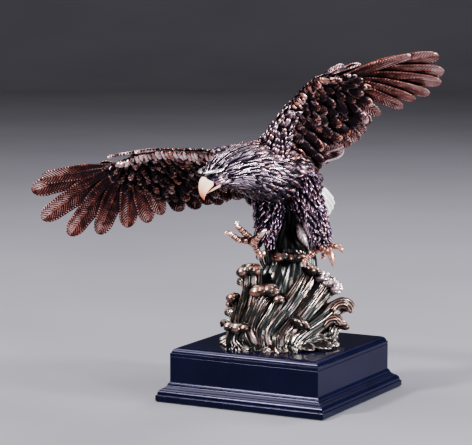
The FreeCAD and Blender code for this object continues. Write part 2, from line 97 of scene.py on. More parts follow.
class Sculpt:
    """Closed shells gathered into one mesh. Each vertex holds its metal's wear, with painted highlights and
    painted shade added in places, and its shell's own tone.
    """

    def __init__(self):
        self.verts, self.quads, self.tris = [], [], []
        self.worn, self.tone = [], []
        self.count = 0

    def add(self, rings, worn, tone):
        """A shell swept through rings of points (ring, place round, xyz), capped at both ends."""
        n, m = rings.shape[:2]
        caps = rings[[0, -1]].mean(axis=1)
        verts = np.concatenate([rings.reshape(-1, 3), caps])
        worn = np.broadcast_to(np.asarray(worn, float), (n, m))
        worn = np.concatenate([worn.reshape(-1), worn[[0, -1]].mean(axis=1)])
        here = np.arange(m)
        after = (here + 1) % m
        start = np.arange(n - 1)[:, None] * m
        walls = [start + here, start + after, start + m + after, start + m + here]
        quads = np.stack(walls, axis=-1).reshape(-1, 4)
        first = np.stack([after, here, np.full(m, n * m)], axis=-1)
        last = np.stack([(n - 1) * m + here, (n - 1) * m + after, np.full(m, n * m + 1)], axis=-1)
        tris = np.concatenate([first, last])
        corners = np.concatenate([quads[:, [0, 1, 2]], quads[:, [0, 2, 3]], tris])
        a, b, c = (verts[corners[:, k]] - verts[0] for k in range(3))
        if np.einsum("ij,ij->", a, np.cross(b, c)) < 0:
            quads, tris = quads[:, ::-1], tris[:, ::-1]
        self.quads.append(quads + self.count)
        self.tris.append(tris + self.count)
        self.verts.append(verts)
        self.worn.append(worn)
        self.tone.append(np.full(len(verts), tone))
        self.count += len(verts)

    def object(self, name, material):
        verts = np.concatenate(self.verts) * MM
        quads, tris = np.concatenate(self.quads), np.concatenate(self.tris)
        mesh = bpy.data.meshes.new(name)
        mesh.vertices.add(len(verts))
        mesh.vertices.foreach_set("co", verts.ravel())
        corners = np.concatenate([quads.ravel(), tris.ravel()]).astype(np.int32)
        mesh.loops.add(len(corners))
        mesh.loops.foreach_set("vertex_index", corners)
        sizes = np.concatenate([np.full(len(quads), 4), np.full(len(tris), 3)])
        mesh.polygons.add(len(sizes))
        mesh.polygons.foreach_set("loop_start", np.concatenate([[0], np.cumsum(sizes)[:-1]]).astype(np.int32))
        mesh.polygons.foreach_set("use_smooth", np.ones(len(sizes), bool))
        mesh.update(calc_edges=True)
        for label, values in (("worn", self.worn), ("tone", self.tone)):
            layer = mesh.attributes.new(label, "FLOAT", "POINT")
            layer.data.foreach_set("value", np.concatenate(values).astype(np.float32))
        return link(name, mesh, material)

    def piece(self, name, material, slot, node):
        """The gathered shells as a finished piece that stands for a node."""
        stand_in_for(self.object(name, material), node)


def link(name, mesh, material):
    """An object in the scene that shows a mesh in a material."""
    mesh.materials.append(material)
    obj = bpy.data.objects.new(name, mesh)
    bpy.context.scene.collection.objects.link(obj)
    return obj


def plain_solid(name, verts, faces, material):
    """An object from corner points in metres and the faces between them."""
    mesh = bpy.data.meshes.new(name)
    mesh.from_pydata(verts, [], faces)
    mesh.update()
    mesh.polygons.foreach_set("use_smooth", np.ones(len(faces), bool))
    return link(name, mesh, material)


def stand_in_for(obj, node):
    """Says what a finished piece rides on and stands for."""
    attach(obj, "root")
    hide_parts(node)


# ------------------------------------------------------------ materials


def nodes_of(name):
    """A new material, its node tree and its shader."""
    material = bpy.data.materials.new(name)
    material.use_nodes = True
    tree = material.node_tree
    shader = tree.nodes["Principled BSDF"]
    return material, tree, shader


def add(tree, kind, **settings):
    """A shader node with its sockets or its own settings filled in."""
    node = tree.nodes.new("ShaderNode" + kind)
    for key, value in settings.items():
        if key in node.inputs:
            node.inputs[key].default_value = value
        else:
            setattr(node, key, value)
    return node


def noise(tree, scale, detail=4.0, stretch=None):
    """Noise over the object's own place, in cells per metre."""
    place = add(tree, "TexCoord").outputs["Object"]
    if stretch:
        mapping = add(tree, "Mapping")
        mapping.inputs["Scale"].default_value = stretch
        tree.links.new(place, mapping.inputs["Vector"])
        place = mapping.outputs["Vector"]
    node = add(tree, "TexNoise")
    node.inputs["Scale"].default_value = scale
    node.inputs["Detail"].default_value = detail
    tree.links.new(place, node.inputs["Vector"])
    return node.outputs["Fac"]


def attribute(tree, name):
    return add(tree, "Attribute", attribute_name=name).outputs["Fac"]


def calculate(tree, operation, a, b=None, clamp=False):
    node = add(tree, "Math", operation=operation, use_clamp=clamp)
    for socket, value in zip(node.inputs, (a, b)):
        if value is None:
            continue
        if isinstance(value, (int, float)):
            socket.default_value = value
        else:
            tree.links.new(value, socket)
    return node.outputs[0]


def remap(tree, value, low, high, new_low=0.0, new_high=1.0):
    node = add(tree, "MapRange")
    tree.links.new(value, node.inputs["Value"])
    for key, number in (("From Min", low), ("From Max", high), ("To Min", new_low), ("To Max", new_high)):
        node.inputs[key].default_value = number
    return node.outputs["Result"]


MIX_A, MIX_B, MIX_RESULT = 6, 7, 2  # where a Mix node keeps its colour sockets, behind its other kinds


def mix(tree, factor, a, b):
    """A colour between a and b, each a colour or a socket."""
    node = add(tree, "Mix", data_type="RGBA")
    tree.links.new(factor, node.inputs["Factor"])
    for socket, value in ((node.inputs[MIX_A], a), (node.inputs[MIX_B], b)):
        if isinstance(value, tuple):
            socket.default_value = (*value, 1)
        else:
            tree.links.new(value, socket)
    return node.outputs[MIX_RESULT]


def relief(tree, shader, height, distance, strength=0.6):
    """Fine unevenness of the surface, distance metres deep."""
    node = add(tree, "Bump")
    node.inputs["Distance"].default_value = distance
    node.inputs["Strength"].default_value = strength
    tree.links.new(height, node.inputs["Height"])
    tree.links.new(node.outputs["Normal"], shader.inputs["Normal"])


PIT_REACH = 6 * MM  # how close the walls of a pit stand
METALLIC = 0.85  # the rest is patina
BARE_FROM, BARE_FULL, BRIGHT_FULL = 0.22, 0.58, 0.95  # how rubbed metal is when it shows bare, then bright
DULL, POLISHED = 0.36, 0.20  # roughness of the patina and of the metal rubbed bright


def bronze(name, pit, ground, rubbed, bright, warm, wear=1.0, wax=0.5, gloss=0.5):
    """Patinated bronze: dark in its pits, a brown ground, rubbed through to bare metal on what stands proud.

    warm is the colour that the rubbed metal turns to where a shell's own tone is high.
    """
    material, tree, shader = nodes_of(name)
    hollow = add(tree, "AmbientOcclusion", samples=8)
    hollow.inputs["Distance"].default_value = PIT_REACH
    open_to_air = remap(tree, hollow.outputs["AO"], 0.40, 0.98)
    point = add(tree, "NewGeometry").outputs["Pointiness"]
    edge = remap(tree, point, 0.5, 0.62)
    patch = noise(tree, 150, 6)
    fine = noise(tree, 900, 4)
    # worn is the metal's wear, and in places painted highlights and painted shade laid into it
    rub = calculate(tree, "MULTIPLY", attribute(tree, "worn"), wear)
    rub = calculate(tree, "ADD", rub, calculate(tree, "MULTIPLY", edge, 0.30))
    rub = calculate(tree, "ADD", rub, remap(tree, patch, 0.3, 0.7, -0.28, 0.24))
    rub = calculate(tree, "ADD", rub, remap(tree, fine, 0.3, 0.7, -0.12, 0.12))
    rub = calculate(tree, "MULTIPLY", rub, open_to_air, clamp=True)
    tone = remap(tree, attribute(tree, "tone"), 0.35, 0.95)
    bare = mix(tree, tone, rubbed, warm)
    colour = mix(tree, open_to_air, pit, ground)
    colour = mix(tree, remap(tree, rub, BARE_FROM, BARE_FULL), colour, bare)
    colour = mix(tree, remap(tree, rub, BARE_FULL, BRIGHT_FULL), colour, bright)
    tree.links.new(colour, shader.inputs["Base Color"])
    shader.inputs["Metallic"].default_value = METALLIC
    tree.links.new(remap(tree, rub, 0.0, 1.0, DULL, POLISHED), shader.inputs["Roughness"])
    shader.inputs["Coat Weight"].default_value = wax
    shader.inputs["Specular IOR Level"].default_value = gloss
    shader.inputs["Coat Roughness"].default_value = 0.16
    shader.inputs["Coat Tint"].default_value = (0.96, 0.93, 1.0, 1)
    relief(tree, shader, fine, 0.12 * MM, 0.5)
    return material


def paint(name, colour, shade, tip, rough=0.42):
    """Hand-brushed satin paint over the casting: painted shade in the pits, found by ambient occlusion,
    blotches of the shade colour here and there, and tip where worn.
    """
    material, tree, shader = nodes_of(name)
    hollow = add(tree, "AmbientOcclusion", samples=8)
    hollow.inputs["Distance"].default_value = 4 * MM
    patch = noise(tree, 260, 5)
    # painted shade: the colour turns to shade where ambient occlusion finds a pit
    base = mix(tree, remap(tree, hollow.outputs["AO"], 0.3, 0.9), shade, colour)
    base = mix(tree, attribute(tree, "worn"), base, tip)
    base = mix(tree, remap(tree, patch, 0.35, 0.75, 0.0, 0.25), base, shade)
    tree.links.new(base, shader.inputs["Base Color"])
    tree.links.new(remap(tree, patch, 0.3, 0.7, rough - 0.06, rough + 0.1), shader.inputs["Roughness"])
    relief(tree, shader, patch, 0.1 * MM, 0.4)
    return material


def lacquer(name):
    """Smooth satin black lacquer with a cool blue-violet sheen."""
    material, tree, shader = nodes_of(name)
    cloud = noise(tree, 25, 3)
    peel = noise(tree, 220, 2)
    base = mix(tree, remap(tree, cloud, 0.3, 0.7), (0.0006, 0.0009, 0.006), (0.0012, 0.0016, 0.010))
    tree.links.new(base, shader.inputs["Base Color"])
    tree.links.new(remap(tree, cloud, 0.3, 0.7, 0.18, 0.22), shader.inputs["Roughness"])
    shader.inputs["Specular IOR Level"].default_value = 0.14
    shader.inputs["Specular Tint"].default_value = (0.60, 0.57, 1.0, 1)
    relief(tree, shader, peel, 0.01 * MM, 0.04)
    return material


def grained(name, dark, light, rough, stretch, scale=90, metal=0.0, depth=0.1):
    """A plain grained material for what is out of sight: board, felt and plated steel."""
    material, tree, shader = nodes_of(name)
    grain = noise(tree, scale, 8, stretch)
    fine = noise(tree, scale * 12, 3)
    base = mix(tree, remap(tree, grain, 0.3, 0.7), dark, light)
    base = mix(tree, remap(tree, fine, 0.45, 0.75, 0.0, 0.4), base, dark)
    tree.links.new(base, shader.inputs["Base Color"])
    shader.inputs["Metallic"].default_value = metal
    tree.links.new(remap(tree, fine, 0.3, 0.7, rough - 0.08, rough + 0.08), shader.inputs["Roughness"])
    relief(tree, shader, fine, depth * MM, 0.6)
    return material


BODY = bronze(
    "body_bronze", (0.001, 0.001, 0.002),
    (0.014, 0.008, 0.018), (0.46, 0.31, 0.38), (1.0, 0.93, 0.95), (0.46, 0.21, 0.17), wax=0.2
)
TROUSERS = bronze(
    "trouser_bronze", (0.001, 0.001, 0.002),
    (0.010, 0.005, 0.016), (0.30, 0.18, 0.30), (0.98, 0.88, 1.0), (0.32, 0.14, 0.14), wax=0.2
)
COVERT = bronze(
    "covert_bronze", (0.001, 0.001, 0.001),
    (0.008, 0.004, 0.006), (0.36, 0.20, 0.21), (1.0, 0.84, 0.82), (0.54, 0.19, 0.12), wax=0.02, gloss=0.12
)
QUILL = bronze(
    "quill_bronze", (0.001, 0.001, 0.001),
    (0.020, 0.005, 0.007), (0.42, 0.13, 0.10), (1.0, 0.82, 0.80), (0.50, 0.12, 0.07), wax=0.1
)
FOOT = bronze(
    "foot_bronze", (0.006, 0.003, 0.004),
    (0.050, 0.018, 0.016), (0.66, 0.32, 0.23), (1.0, 0.88, 0.78), (0.72, 0.29, 0.19), 1.1, wax=0.2
)
WAVE = bronze(
    "wave_bronze", (0.001, 0.001, 0.001),
    (0.009, 0.011, 0.010), (0.42, 0.33, 0.27), (1.0, 0.92, 0.80), (0.62, 0.25, 0.16), wax=0.3
)
FOAM = bronze(
    "foam_bronze", (0.03, 0.024, 0.027),
    (0.20, 0.15, 0.16), (0.72, 0.58, 0.57), (1.0, 0.95, 0.93), (0.66, 0.46, 0.42)
)
BEAK = paint("beak_paint", (1.0, 0.72, 0.50), (0.62, 0.24, 0.13), (0.80, 0.13, 0.05))
TAIL = paint("tail_paint", (0.97, 0.97, 0.96), (0.74, 0.70, 0.68), (0.98, 0.98, 0.98))
EYE = paint("eye_paint", (0.02, 0.012, 0.008), (0.004, 0.003, 0.003), (0.03, 0.02, 0.01), 0.2)
BLACK = lacquer("black_lacquer")
BOARD = grained("raw_board", (0.33, 0.22, 0.13), (0.58, 0.44, 0.30), 0.7, (1, 9, 9))
STEEL = grained("plated_steel", (0.38, 0.38, 0.39), (0.62, 0.62, 0.63), 0.34, (1, 1, 30), 60, 1.0, 0.03)
FELT = grained("felt", (0.010, 0.022, 0.016), (0.035, 0.060, 0.045), 0.95, (1, 1, 1), 500, 0.0, 0.3)


# ------------------------------------------------------------ feathers


def across_samples(count):
    """Places across a feather from -1 to 1, closer together at the shaft and at the rims."""
    t = np.linspace(-1, 1, count)
    return np.sign(t) * (0.55 * np.abs(t) + 0.45 * np.abs(t) ** 2.2) if count > 9 else t


def feather(
    sculpt, root, tip, normal, half, rng, rows=12, columns=7, thick=1.1, bow=0.05, cup=0.18, roll=0.0,
    point=1.0, waist=0.5, taper=0.0, shaft=0.25, barbs=0.0, pitch=2.6, rim=0.35, tip_rub=0.35,
    shaft_rub=0.45, barb_rub=0.3, sheen=0.0, dark_root=0.35, worn=0.0, tone=None,
):
    """One closed feather from root to tip, its outer face along normal.

    half is its half width, bow how far its middle rises as a share of its length, cup how far its rims bend
    down as a share of half, point 1 for a round end and more for a sharper one, waist its width at the root.
    """
    axis = tip - root
    length = np.linalg.norm(axis)
    axis = axis / length
    across = unit(np.cross(axis, normal))
    if roll:
        across = spin(across, axis, roll)
    out = np.cross(across, axis)
    u = np.linspace(0, 1, rows)
    u = 0.55 * u + 0.45 * (1 - (1 - u) ** 2) if rows > 6 else u
    v = across_samples(columns)
    tip_length = min(0.75, 1.25 * point * half / length)
    round_end = np.sqrt(np.clip(1 - np.clip((u - 1 + tip_length) / tip_length, 0, 1) ** 2, 0, 1))
    if point > 1.3:
        round_end = np.clip((1 - u) / tip_length, 0, 1) ** 0.8
    width = half * (waist + (1 - waist) * ramp(u, 0, 0.45))
    width = width * (1 - taper * ramp(u, 0.5, 1)) * np.maximum(round_end, 0.06)
    centre = root + axis * (u * length)[:, None] + out * (bow * length * 4 * u * (1 - u))[:, None]
    mid = 0.5 * thick * (1 - 0.55 * u)
    skin = mid[:, None] * (0.35 + 0.65 * (1 - v**2))[None, :]
    dome = -cup * width[:, None] * (v**2)[None, :]
    ridge = shaft * ((1 - 0.75 * u)[:, None] + 0.1) * bump(v, 0, 0.13)[None, :]
    comb = 0
    if barbs:
        phase = (u[:, None] * length - np.abs(v)[None, :] * half * 0.9) / pitch * 2 * math.pi
        flank = ramp(np.abs(v), 0.06, 0.2) * (1 - ramp(np.abs(v), 0.86, 1.0))
        comb = barbs * np.sin(phase + rng.uniform(0, 6)) * flank[None, :]
    upper = dome + skin + ridge + comb
    lower = dome - skin - ridge - comb
    place = centre[:, None, :] + across * (v[None, :] * width[:, None])[..., None]
    rings = np.concatenate(
        [place + out * upper[..., None], (place + out * lower[..., None])[:, ::-1]], axis=1
    )
    rubbed = worn + rim * ramp(np.abs(v), 0.72, 0.98)[None, :] + tip_rub * ramp(u, 0.72, 0.97)[:, None]
    rubbed = rubbed + shaft_rub * bump(v, 0, 0.10)[None, :]
    if barbs:
        handled = 0.55 + 0.65 * bump(u, rng.uniform(0.5, 1.0), 0.28)[:, None] if sheen else 1
        rubbed = rubbed + barb_rub * (ramp(comb / barbs, 0.1, 0.9) - 0.3) * handled
    # painted highlight: sheen lays extra rub along one half of the feather toward its tip, standing in for
    # light glancing off it
    if sheen:
        painted_highlight_band = bump(v, 0.42 * np.sign(sheen), 0.38)[None, :]
        rubbed = rubbed + abs(sheen) * ramp(u, 0.5, 0.85)[:, None] * painted_highlight_band
    rubbed = rubbed * ramp(u, 0.05, dark_root)[:, None]
    rubbed = np.concatenate([rubbed, rubbed[:, ::-1]], axis=1)
    sculpt.add(rings, rubbed, rng.uniform() if tone is None else tone)


# ------------------------------------------------------------ wings

RIGHT_WING = {
    "bone": [
        (-22, -13, 214), (-56, -10, 221), (-91, -12, 222),
        (-122, -14, 221), (-143, -15, 217), (-160, -15, 207),
    ],
    "primaries": [
        (-238, -36, 192), (-248, -37, 180), (-242, -29, 152), (-221, -14, 136),
        (-196, 0, 137), (-171, 11, 144), (-152, 18, 149), (-139, 22, 157),
    ],
    "secondaries": [
        (-120, 27, 161), (-103, 30, 164), (-90, 31, 169), (-80, 32, 169),
        (-70, 30, 174), (-60, 31, 175), (-51, 30, 176), (-42, 29, 173),
    ],
    "joint": [(-6, -8, 213), (-16, 24, 184)],
    "alula": [(-173, -22, 214.5), (-152, -25, 219), (-141, -25, 221)],
    "alula_root": 7.6,
    "alula_half": 2.1,
    "alula_face": (-0.1, -0.5, 0.8),
    "nose": 1.5,
    "broad": 10.4,
    "covert_size": 0.92,
    "covert_worn": 0.07,
    "alula_share": 0.8,
    "edge_tone": (0.25, 0.85),
    "edge_worn": (0.4, 0.9),
    "hand_worn": 0.10,
    # painted shade: the right wing's secondaries are darkened well below their wear
    "arm_wear_and_shade": -0.35,
    "seed": 5,
}
LEFT_WING = {
    "bone": [(-1, -16, 230), (11, -17, 249), (24, -18, 267), (38, -17, 282), (51, -18, 293), (65, -18, 295)],
    "primaries": [
        (133, -11, 318), (155, -1, 318), (157, 7, 304), (152, 13, 294),
        (139, 18, 283), (124, 21, 277), (110, 25, 269), (88, 24, 261),
    ],
    "secondaries": [
        (76, 27, 252), (69, 30, 243), (62, 33, 236), (52, 34, 230),
        (41, 35, 222), (31, 34, 214), (23, 33, 208), (17, 30, 205),
    ],
    "joint": [(-4, -14, 221), (10, 24, 204)],
    "alula": [(86, -14, 308), (70, -15, 307)],
    "alula_root": 4.4,
    "alula_half": 4.0,
    "alula_face": (0.45, -0.88, 0.1),
    "nose": 7.5,
    "broad": 8.6,
    "covert_size": 1.18,
    "covert_worn": 0.05,
    "alula_share": 0.85,
    "edge_tone": (0.45, 1.0),
    "edge_worn": (0.05, 0.6),
    "hand_worn": 0.26,
    "arm_wear_and_shade": 0.0,
    "tertial": [((8.4, 18, 217), (48.3, 31.4, 229.6))],
    "seed": 9,
}
HAND_SHARES = np.linspace(1.0, 0.80, 8)  # where along the bone each primary grows
ARM_SHARES = np.linspace(0.74, 0.08, 8)  # and each secondary
WING_REACH = 56  # how far behind the leading edge the fleshy part of the wing goes
BARB_PITCH = 2.8  # how far apart the barbs of the flight feathers are
ROWS_PER_BARB = 7
PRIMARIES = 8
COVERT_SPACING = 1.85  # of a covert's half width
COVERT_PLACES = [0, 3, 6, 9]
COVERT_REACH = [12, 18, 34, 70]  # how far behind the leading edge coverts grow at those places


class Wing:
    """The fan of a wing. Place 0 is its outermost primary, and the last one its joint inside the body."""

    def __init__(self, spec):
        self.rng = np.random.default_rng(spec["seed"])
        shares = np.concatenate([HAND_SHARES, ARM_SHARES])
        self.roots = np.vstack([curve(spec["bone"], shares), spec["joint"][0]])
        self.spec = spec
        self.nose, self.broad, self.covert_size = spec["nose"], spec["broad"], spec["covert_size"]
        self.tips = np.vstack([spec["primaries"], spec["secondaries"], spec["joint"][1]]).astype(float)
        self.last = len(self.tips) - 1
        self.alula = np.array(spec["alula"], float)

    def middle(self, share):
        """A point a little past half way from the bone to the feathers' tips, at a share of the wing."""
        root = curve(self.roots, share)
        return root + 0.6 * (curve(self.tips, share) - root)

    def line(self, place):
        """Root, unit chord, chord length and back-facing normal at places along the wing."""
        place = np.atleast_1d(np.asarray(place, float))
        share = place / self.last
        step = 0.6 / self.last
        root, tip = curve(self.roots, share), curve(self.tips, share)
        chord = tip - root
        root = root - unit(chord) * (self.nose * np.interp(place, [0, 5, 10, 16], [0.2, 0.6, 1, 1]))[:, None]
        chord = tip - root
        outer, inner = self.middle(share - step), self.middle(share + step)
        back = unit(np.cross(chord, inner - outer))
        flip = np.sign(back @ np.array([0, 1, 0.6]))[:, None]
        length = np.linalg.norm(chord, axis=1)
        return root, chord / length[:, None], length, back * flip

    def half_thick(self, place, behind):
        """Half the thickness of the fleshy part, behind millimetres back from the leading edge."""
        girth = np.interp(np.atleast_1d(place), [0, 7, 16], [2.6, 4.2, 6.0])
        nose = np.sqrt(np.clip(1 - (1 - np.clip(behind / 5, 0, 1)) ** 2, 0, 1))
        return girth * nose * np.clip(1 - behind / WING_REACH, 0.12, 1) ** 0.8

    def skin(self, place, behind, face):
        """A point on the wing's back (face 1) or underside (face -1), and the outward normal there."""
        root, chord, length, back = self.line(place)
        behind = np.broadcast_to(behind, length.shape)
        share = np.clip(behind / length, 0, 1)
        camber = 0.05 * length * 4 * share * (1 - share)
        thick = self.half_thick(place, behind)
        return root + chord * behind[:, None] + back * (camber + face * thick)[:, None], back * face

    def even_places(self, behind, spacing, low, high):
        """Places spaced evenly by length along the wing, at one distance behind the leading edge."""
        fine = np.linspace(low, high, 200)
        points, _ = self.skin(fine, np.full(200, behind), 1)
        run = np.concatenate([[0], np.cumsum(np.linalg.norm(np.diff(points, axis=0), axis=1))])
        count = max(2, int(run[-1] / spacing))
        return np.interp(np.linspace(0, run[-1], count), run, fine)

    def flesh(self, sculpt):
        """The thick part of the wing, under the coverts."""
        places = np.linspace(0.4, self.last, 60)
        reach = np.linspace(0, 1, 12) ** 1.3 * WING_REACH * 0.92
        spare = np.clip(np.interp(places, COVERT_PLACES, COVERT_REACH) / WING_REACH, 0, 1)
        rings = []
        for face, order in ((1, reach), (-1, reach[::-1])):
            rings += [self.skin(places, d * spare, face)[0] for d in order]
        sculpt.add(np.stack(rings, axis=1), 0.0, 0.5)

    def quills(self, hand_sculpt, arm_sculpt):
        """The flight feathers, each rolled so that it slides under its neighbour."""
        for i in range(self.last):
            hand = i < PRIMARIES
            root, chord, _, back = (a[0] for a in self.line(i))
            start = root + chord * 10 + back
            outward = unit(self.tips[max(i - 1, 0)] - self.tips[min(i + 1, self.last)])
            leading = np.sign(np.dot(np.cross(chord, back), outward))
            long = np.linalg.norm(self.tips[i] - start)
            if hand:
                broad = self.broad * np.interp(i, [0, 1, 4, 7], [0.72, 1, 1, 0.85])
                finish = dict(
                    worn=self.spec["hand_worn"], tone=0.85, rim=0.3, shaft_rub=0.4, barbs=0.5, barb_rub=0.85,
                    taper=0.15, tip_rub=0.2, point=1.1,
                    # a painted highlight on the leading half near the tip, strongest on the outer primaries
                    sheen=np.interp(i, [0, 3, 7], [0.75, 0.62, 0.2]) * leading,
                )
            else:
                broad = 8.4
                finish = dict(
                    # wear of the secondaries, lowered on the right wing as painted shade
                    worn=self.spec["arm_wear_and_shade"], tone=0.6, rim=0.4, shaft_rub=0.2, barbs=0.26, barb_rub=0.4,
                    taper=0.1, tip_rub=0.45, point=0.8,
                )
            feather(
                hand_sculpt if hand else arm_sculpt, start, self.tips[i], back, broad, self.rng,
                rows=int(long / BARB_PITCH * ROWS_PER_BARB), columns=19, thick=2.6,
                bow=0.02 if i == 0 else 0.05, cup=0.2, roll=5 * leading, waist=0.42, shaft=0.8,
                pitch=BARB_PITCH, dark_root=0.62, **finish,
            )

    def covert_row(
        self, sculpt, row, behind, length, half, face, low=0.5, high=16, raised=2.4, tones=(0.3, 1.1), **style
    ):
        """One row of small feathers along the wing, overlapping like the scales of a cone."""
        places = self.even_places(behind, half * COVERT_SPACING, low, high)
        if row % 2:
            places = (places[1:] + places[:-1]) / 2
        for place in places:
            place = np.clip(place + self.rng.uniform(-0.16, 0.16), 0, self.last)
            _, _, chord_length, _ = self.line(place)
            fit = min(1, (chord_length[0] - 4) / (behind + length))
            fit = fit * np.interp(place, [0, 3, 8], [0.75, 0.85, 1])
            if behind * fit > np.interp(place, COVERT_PLACES, COVERT_REACH):
                continue
            start = (behind + self.rng.uniform(-1.8, 1.8)) * fit
            long = length * self.rng.uniform(0.82, 1.18) * max(fit, 0.75)
            root, normal = (a[0] for a in self.skin(place, np.array([start]), face))
            end, _ = (a[0] for a in self.skin(place, np.array([start + long]), face))
            side = unit(np.cross(normal, end - root))
            end = end + side * self.rng.normal(0, 0.15) * long
            end = end + normal * (raised * self.rng.uniform(0.5, 1.4))
            mood = dict(style, tone=self.rng.uniform(*tones))
            mood["worn"] = style["worn"] + self.rng.uniform(-0.2, 0.2)
            feather(
                sculpt, root - normal * 0.5, end, normal, half * self.rng.uniform(0.85, 1.15), self.rng,
                bow=0.12, cup=0.34, waist=0.7, roll=self.rng.normal(0, 11), **mood,
            )

    def coverts(self, sculpt, face):
        """Plates near the leading edge, then rows of round coverts that stand off each other."""
        plate = dict(rows=8, columns=7, shaft=0.1, shaft_rub=0.1, rim=0.25, tip_rub=0.5, thick=1.9)
        low, high = self.spec["edge_tone"]
        wear = np.mean(self.spec["edge_worn"]) - 0.2
        for row, (behind, length, half) in enumerate(((1.0, 8.0, 3.3), (6.3, 8.5, 3.4))):
            self.covert_row(
                sculpt, row, behind, length, half, face, raised=1.4, tones=(low, high),
                worn=wear - 0.15 * row, **plate,
            )
        round_end = dict(
            rows=22, columns=11, shaft=0.5, shaft_rub=0.35, rim=0.34, tip_rub=0.5, thick=2.2, point=1.25,
            barbs=0.34, barb_rub=0.55, pitch=2.9, dark_root=0.86,
        )
        round_end["worn"] = self.spec["covert_worn"]
        fine = self.covert_size
        rows = int(46 / (6.6 * fine))
        for row in range(rows):
            share = row / (rows - 1)
            length, half = (10.2 + 5.2 * share) * fine, (3.6 + 1.5 * share) * fine
            self.covert_row(sculpt, row, 11.5 + 37.5 * share, length, half, face, raised=3.2, **round_end)
        hand = dict(
            rows=30, columns=13, shaft=0.5, barbs=0.24, pitch=2.8, worn=-0.08, rim=0.4, tip_rub=0.6, thick=2.4
        )
        for behind, low, high in ((11, 0.2, 3.0), (16, 2.6, 5.4), (28, 4.6, 8.0)):
            self.covert_row(sculpt, 0, behind, 19, 4.6, face, low, high, raised=2.4, **hand)

    def edge(self, sculpt):
        """Plates that wrap the leading edge, each with its own wear."""
        for place in self.even_places(0, 4.4, 0.2, 16):
            for face in (1, -1):
                here = place + self.rng.uniform(-0.1, 0.1)
                root, normal = (a[0] for a in self.skin(here, np.array([0.3]), face))
                end, _ = (a[0] for a in self.skin(here, np.array([8.0 * self.rng.uniform(0.8, 1.1)]), face))
                chord = self.line(here)[1][0]
                root = root - chord * self.rng.uniform(0.6, 1.8)
                end = end + normal * self.rng.uniform(0.4, 1.4)
                feather(
                    sculpt, root, end, normal, 2.7, self.rng, rows=10, columns=7, bow=0.14, cup=0.4,
                    waist=0.9, shaft=0.1, shaft_rub=0.1,
                    worn=self.rng.uniform(*self.spec["edge_worn"]), tip_rub=0.4, thick=1.9, point=0.7,
                    roll=self.rng.normal(0, 8), tone=self.rng.uniform(*self.spec["edge_tone"]), dark_root=0.2,
                )

    def tertial(self, sculpt):
        """The broad innermost feather, bright round its rim. Only the raised wing shows one."""
        for root, tip in self.spec.get("tertial", []):
            feather(
                sculpt, np.array(root), np.array(tip), np.array([0.45, -0.85, -0.2]), 9.7, self.rng, rows=110,
                columns=23, thick=2.2, bow=0.03, cup=0.2, waist=0.9, shaft=0.6, barbs=0.14, barb_rub=0.18,
                pitch=3.0, point=0.8, rim=1.1, tip_rub=0.2, worn=0.22, tone=0.1, dark_root=0.12,
            )

    def thumb(self, sculpt):
        """The alula: a few stiff pale feathers that stand off the wrist."""
        face = unit(self.spec["alula_face"])
        for i, tip in enumerate(self.alula):
            start, _ = self.skin(self.spec["alula_root"] + 1.2 * i, np.array([1.5]), 1)
            root = tip + (start[0] - tip) * self.spec["alula_share"]
            feather(
                sculpt, root, tip, face, self.spec["alula_half"], self.rng, rows=60, columns=13, thick=2.4,
                bow=0.05, cup=0.45, waist=0.7, shaft=0.5, barbs=0.22, pitch=2.8, rim=0.45, worn=0.2, tone=0.1,
                dark_root=0.15,
            )


def make_wing(side, spec):
    """One wing in four pieces: the hand's quills, the arm's, and the coverts of its back and underside."""
    wing = Wing(spec)
    hand, arm, coverts, under = Sculpt(), Sculpt(), Sculpt(), Sculpt()
    wing.quills(hand, arm)
    wing.tertial(arm)
    wing.flesh(coverts)
    wing.thumb(coverts)
    wing.edge(coverts)
    wing.coverts(coverts, 1)
    wing.coverts(under, -1)
    node = f"{side}_wing"
    hand.piece(f"{side}_wing_primaries", QUILL, "wing_bronze", node)
    arm.piece(f"{side}_wing_secondaries", COVERT, "wing_bronze", node)
    coverts.piece(f"{side}_wing_back_coverts", COVERT, "wing_bronze", node)
    under.piece(f"{side}_wing_under_coverts", COVERT, "wing_bronze", node)


# ------------------------------------------------------------ trunk, neck and thighs

SPINE = [
    (11, 45, 185), (10, 35, 191), (8, 20, 197), (1, 0, 203), (-7, -20, 209), (-13, -38, 214),
    (-18, -52, 214.5), (-22.5, -63, 212), (-26.5, -71, 208.6), (-29.6, -77.5, 205.4),
    (-31.5, -82.5, 203.6),
]
GIRTH = [7, 14, 20, 24, 24, 21.6, 17.8, 15.0, 11.8, 9.0, 6.0]
RIGHT_THIGH = [(-4, 4, 202), (-8, -4, 190), (-6, -13, 172), (-4, -20, 158), (-4, -26, 146)]
LEFT_THIGH = [(10, 4, 202), (20, 3, 190), (31, 0, 172), (39, -2, 157), (43, -4, 146)]
THIGH_GIRTH = [19, 15, 12.3, 10, 7]
RIGHT_SHOULDER = [(-6, -18, 213), (-22, -13, 218), (-40, -11, 221), (-60, -11, 222)]
LEFT_SHOULDER = [(-6, -18, 213), (3, -20, 233), (12, -21, 250), (24, -21, 267)]
SHOULDER_GIRTH = [19, 13.5, 8.5, 5]
CORE_PLACES = 32  # points round a core
INNER_LEG_PLUMES = [  # the top and the tip of each, in the wave's own directions
    ((15, 20, 162), (26, 24, 139)), ((20, 21, 168), (33, 24, 143)), ((27, 19, 163), (37, 21, 148)),
]


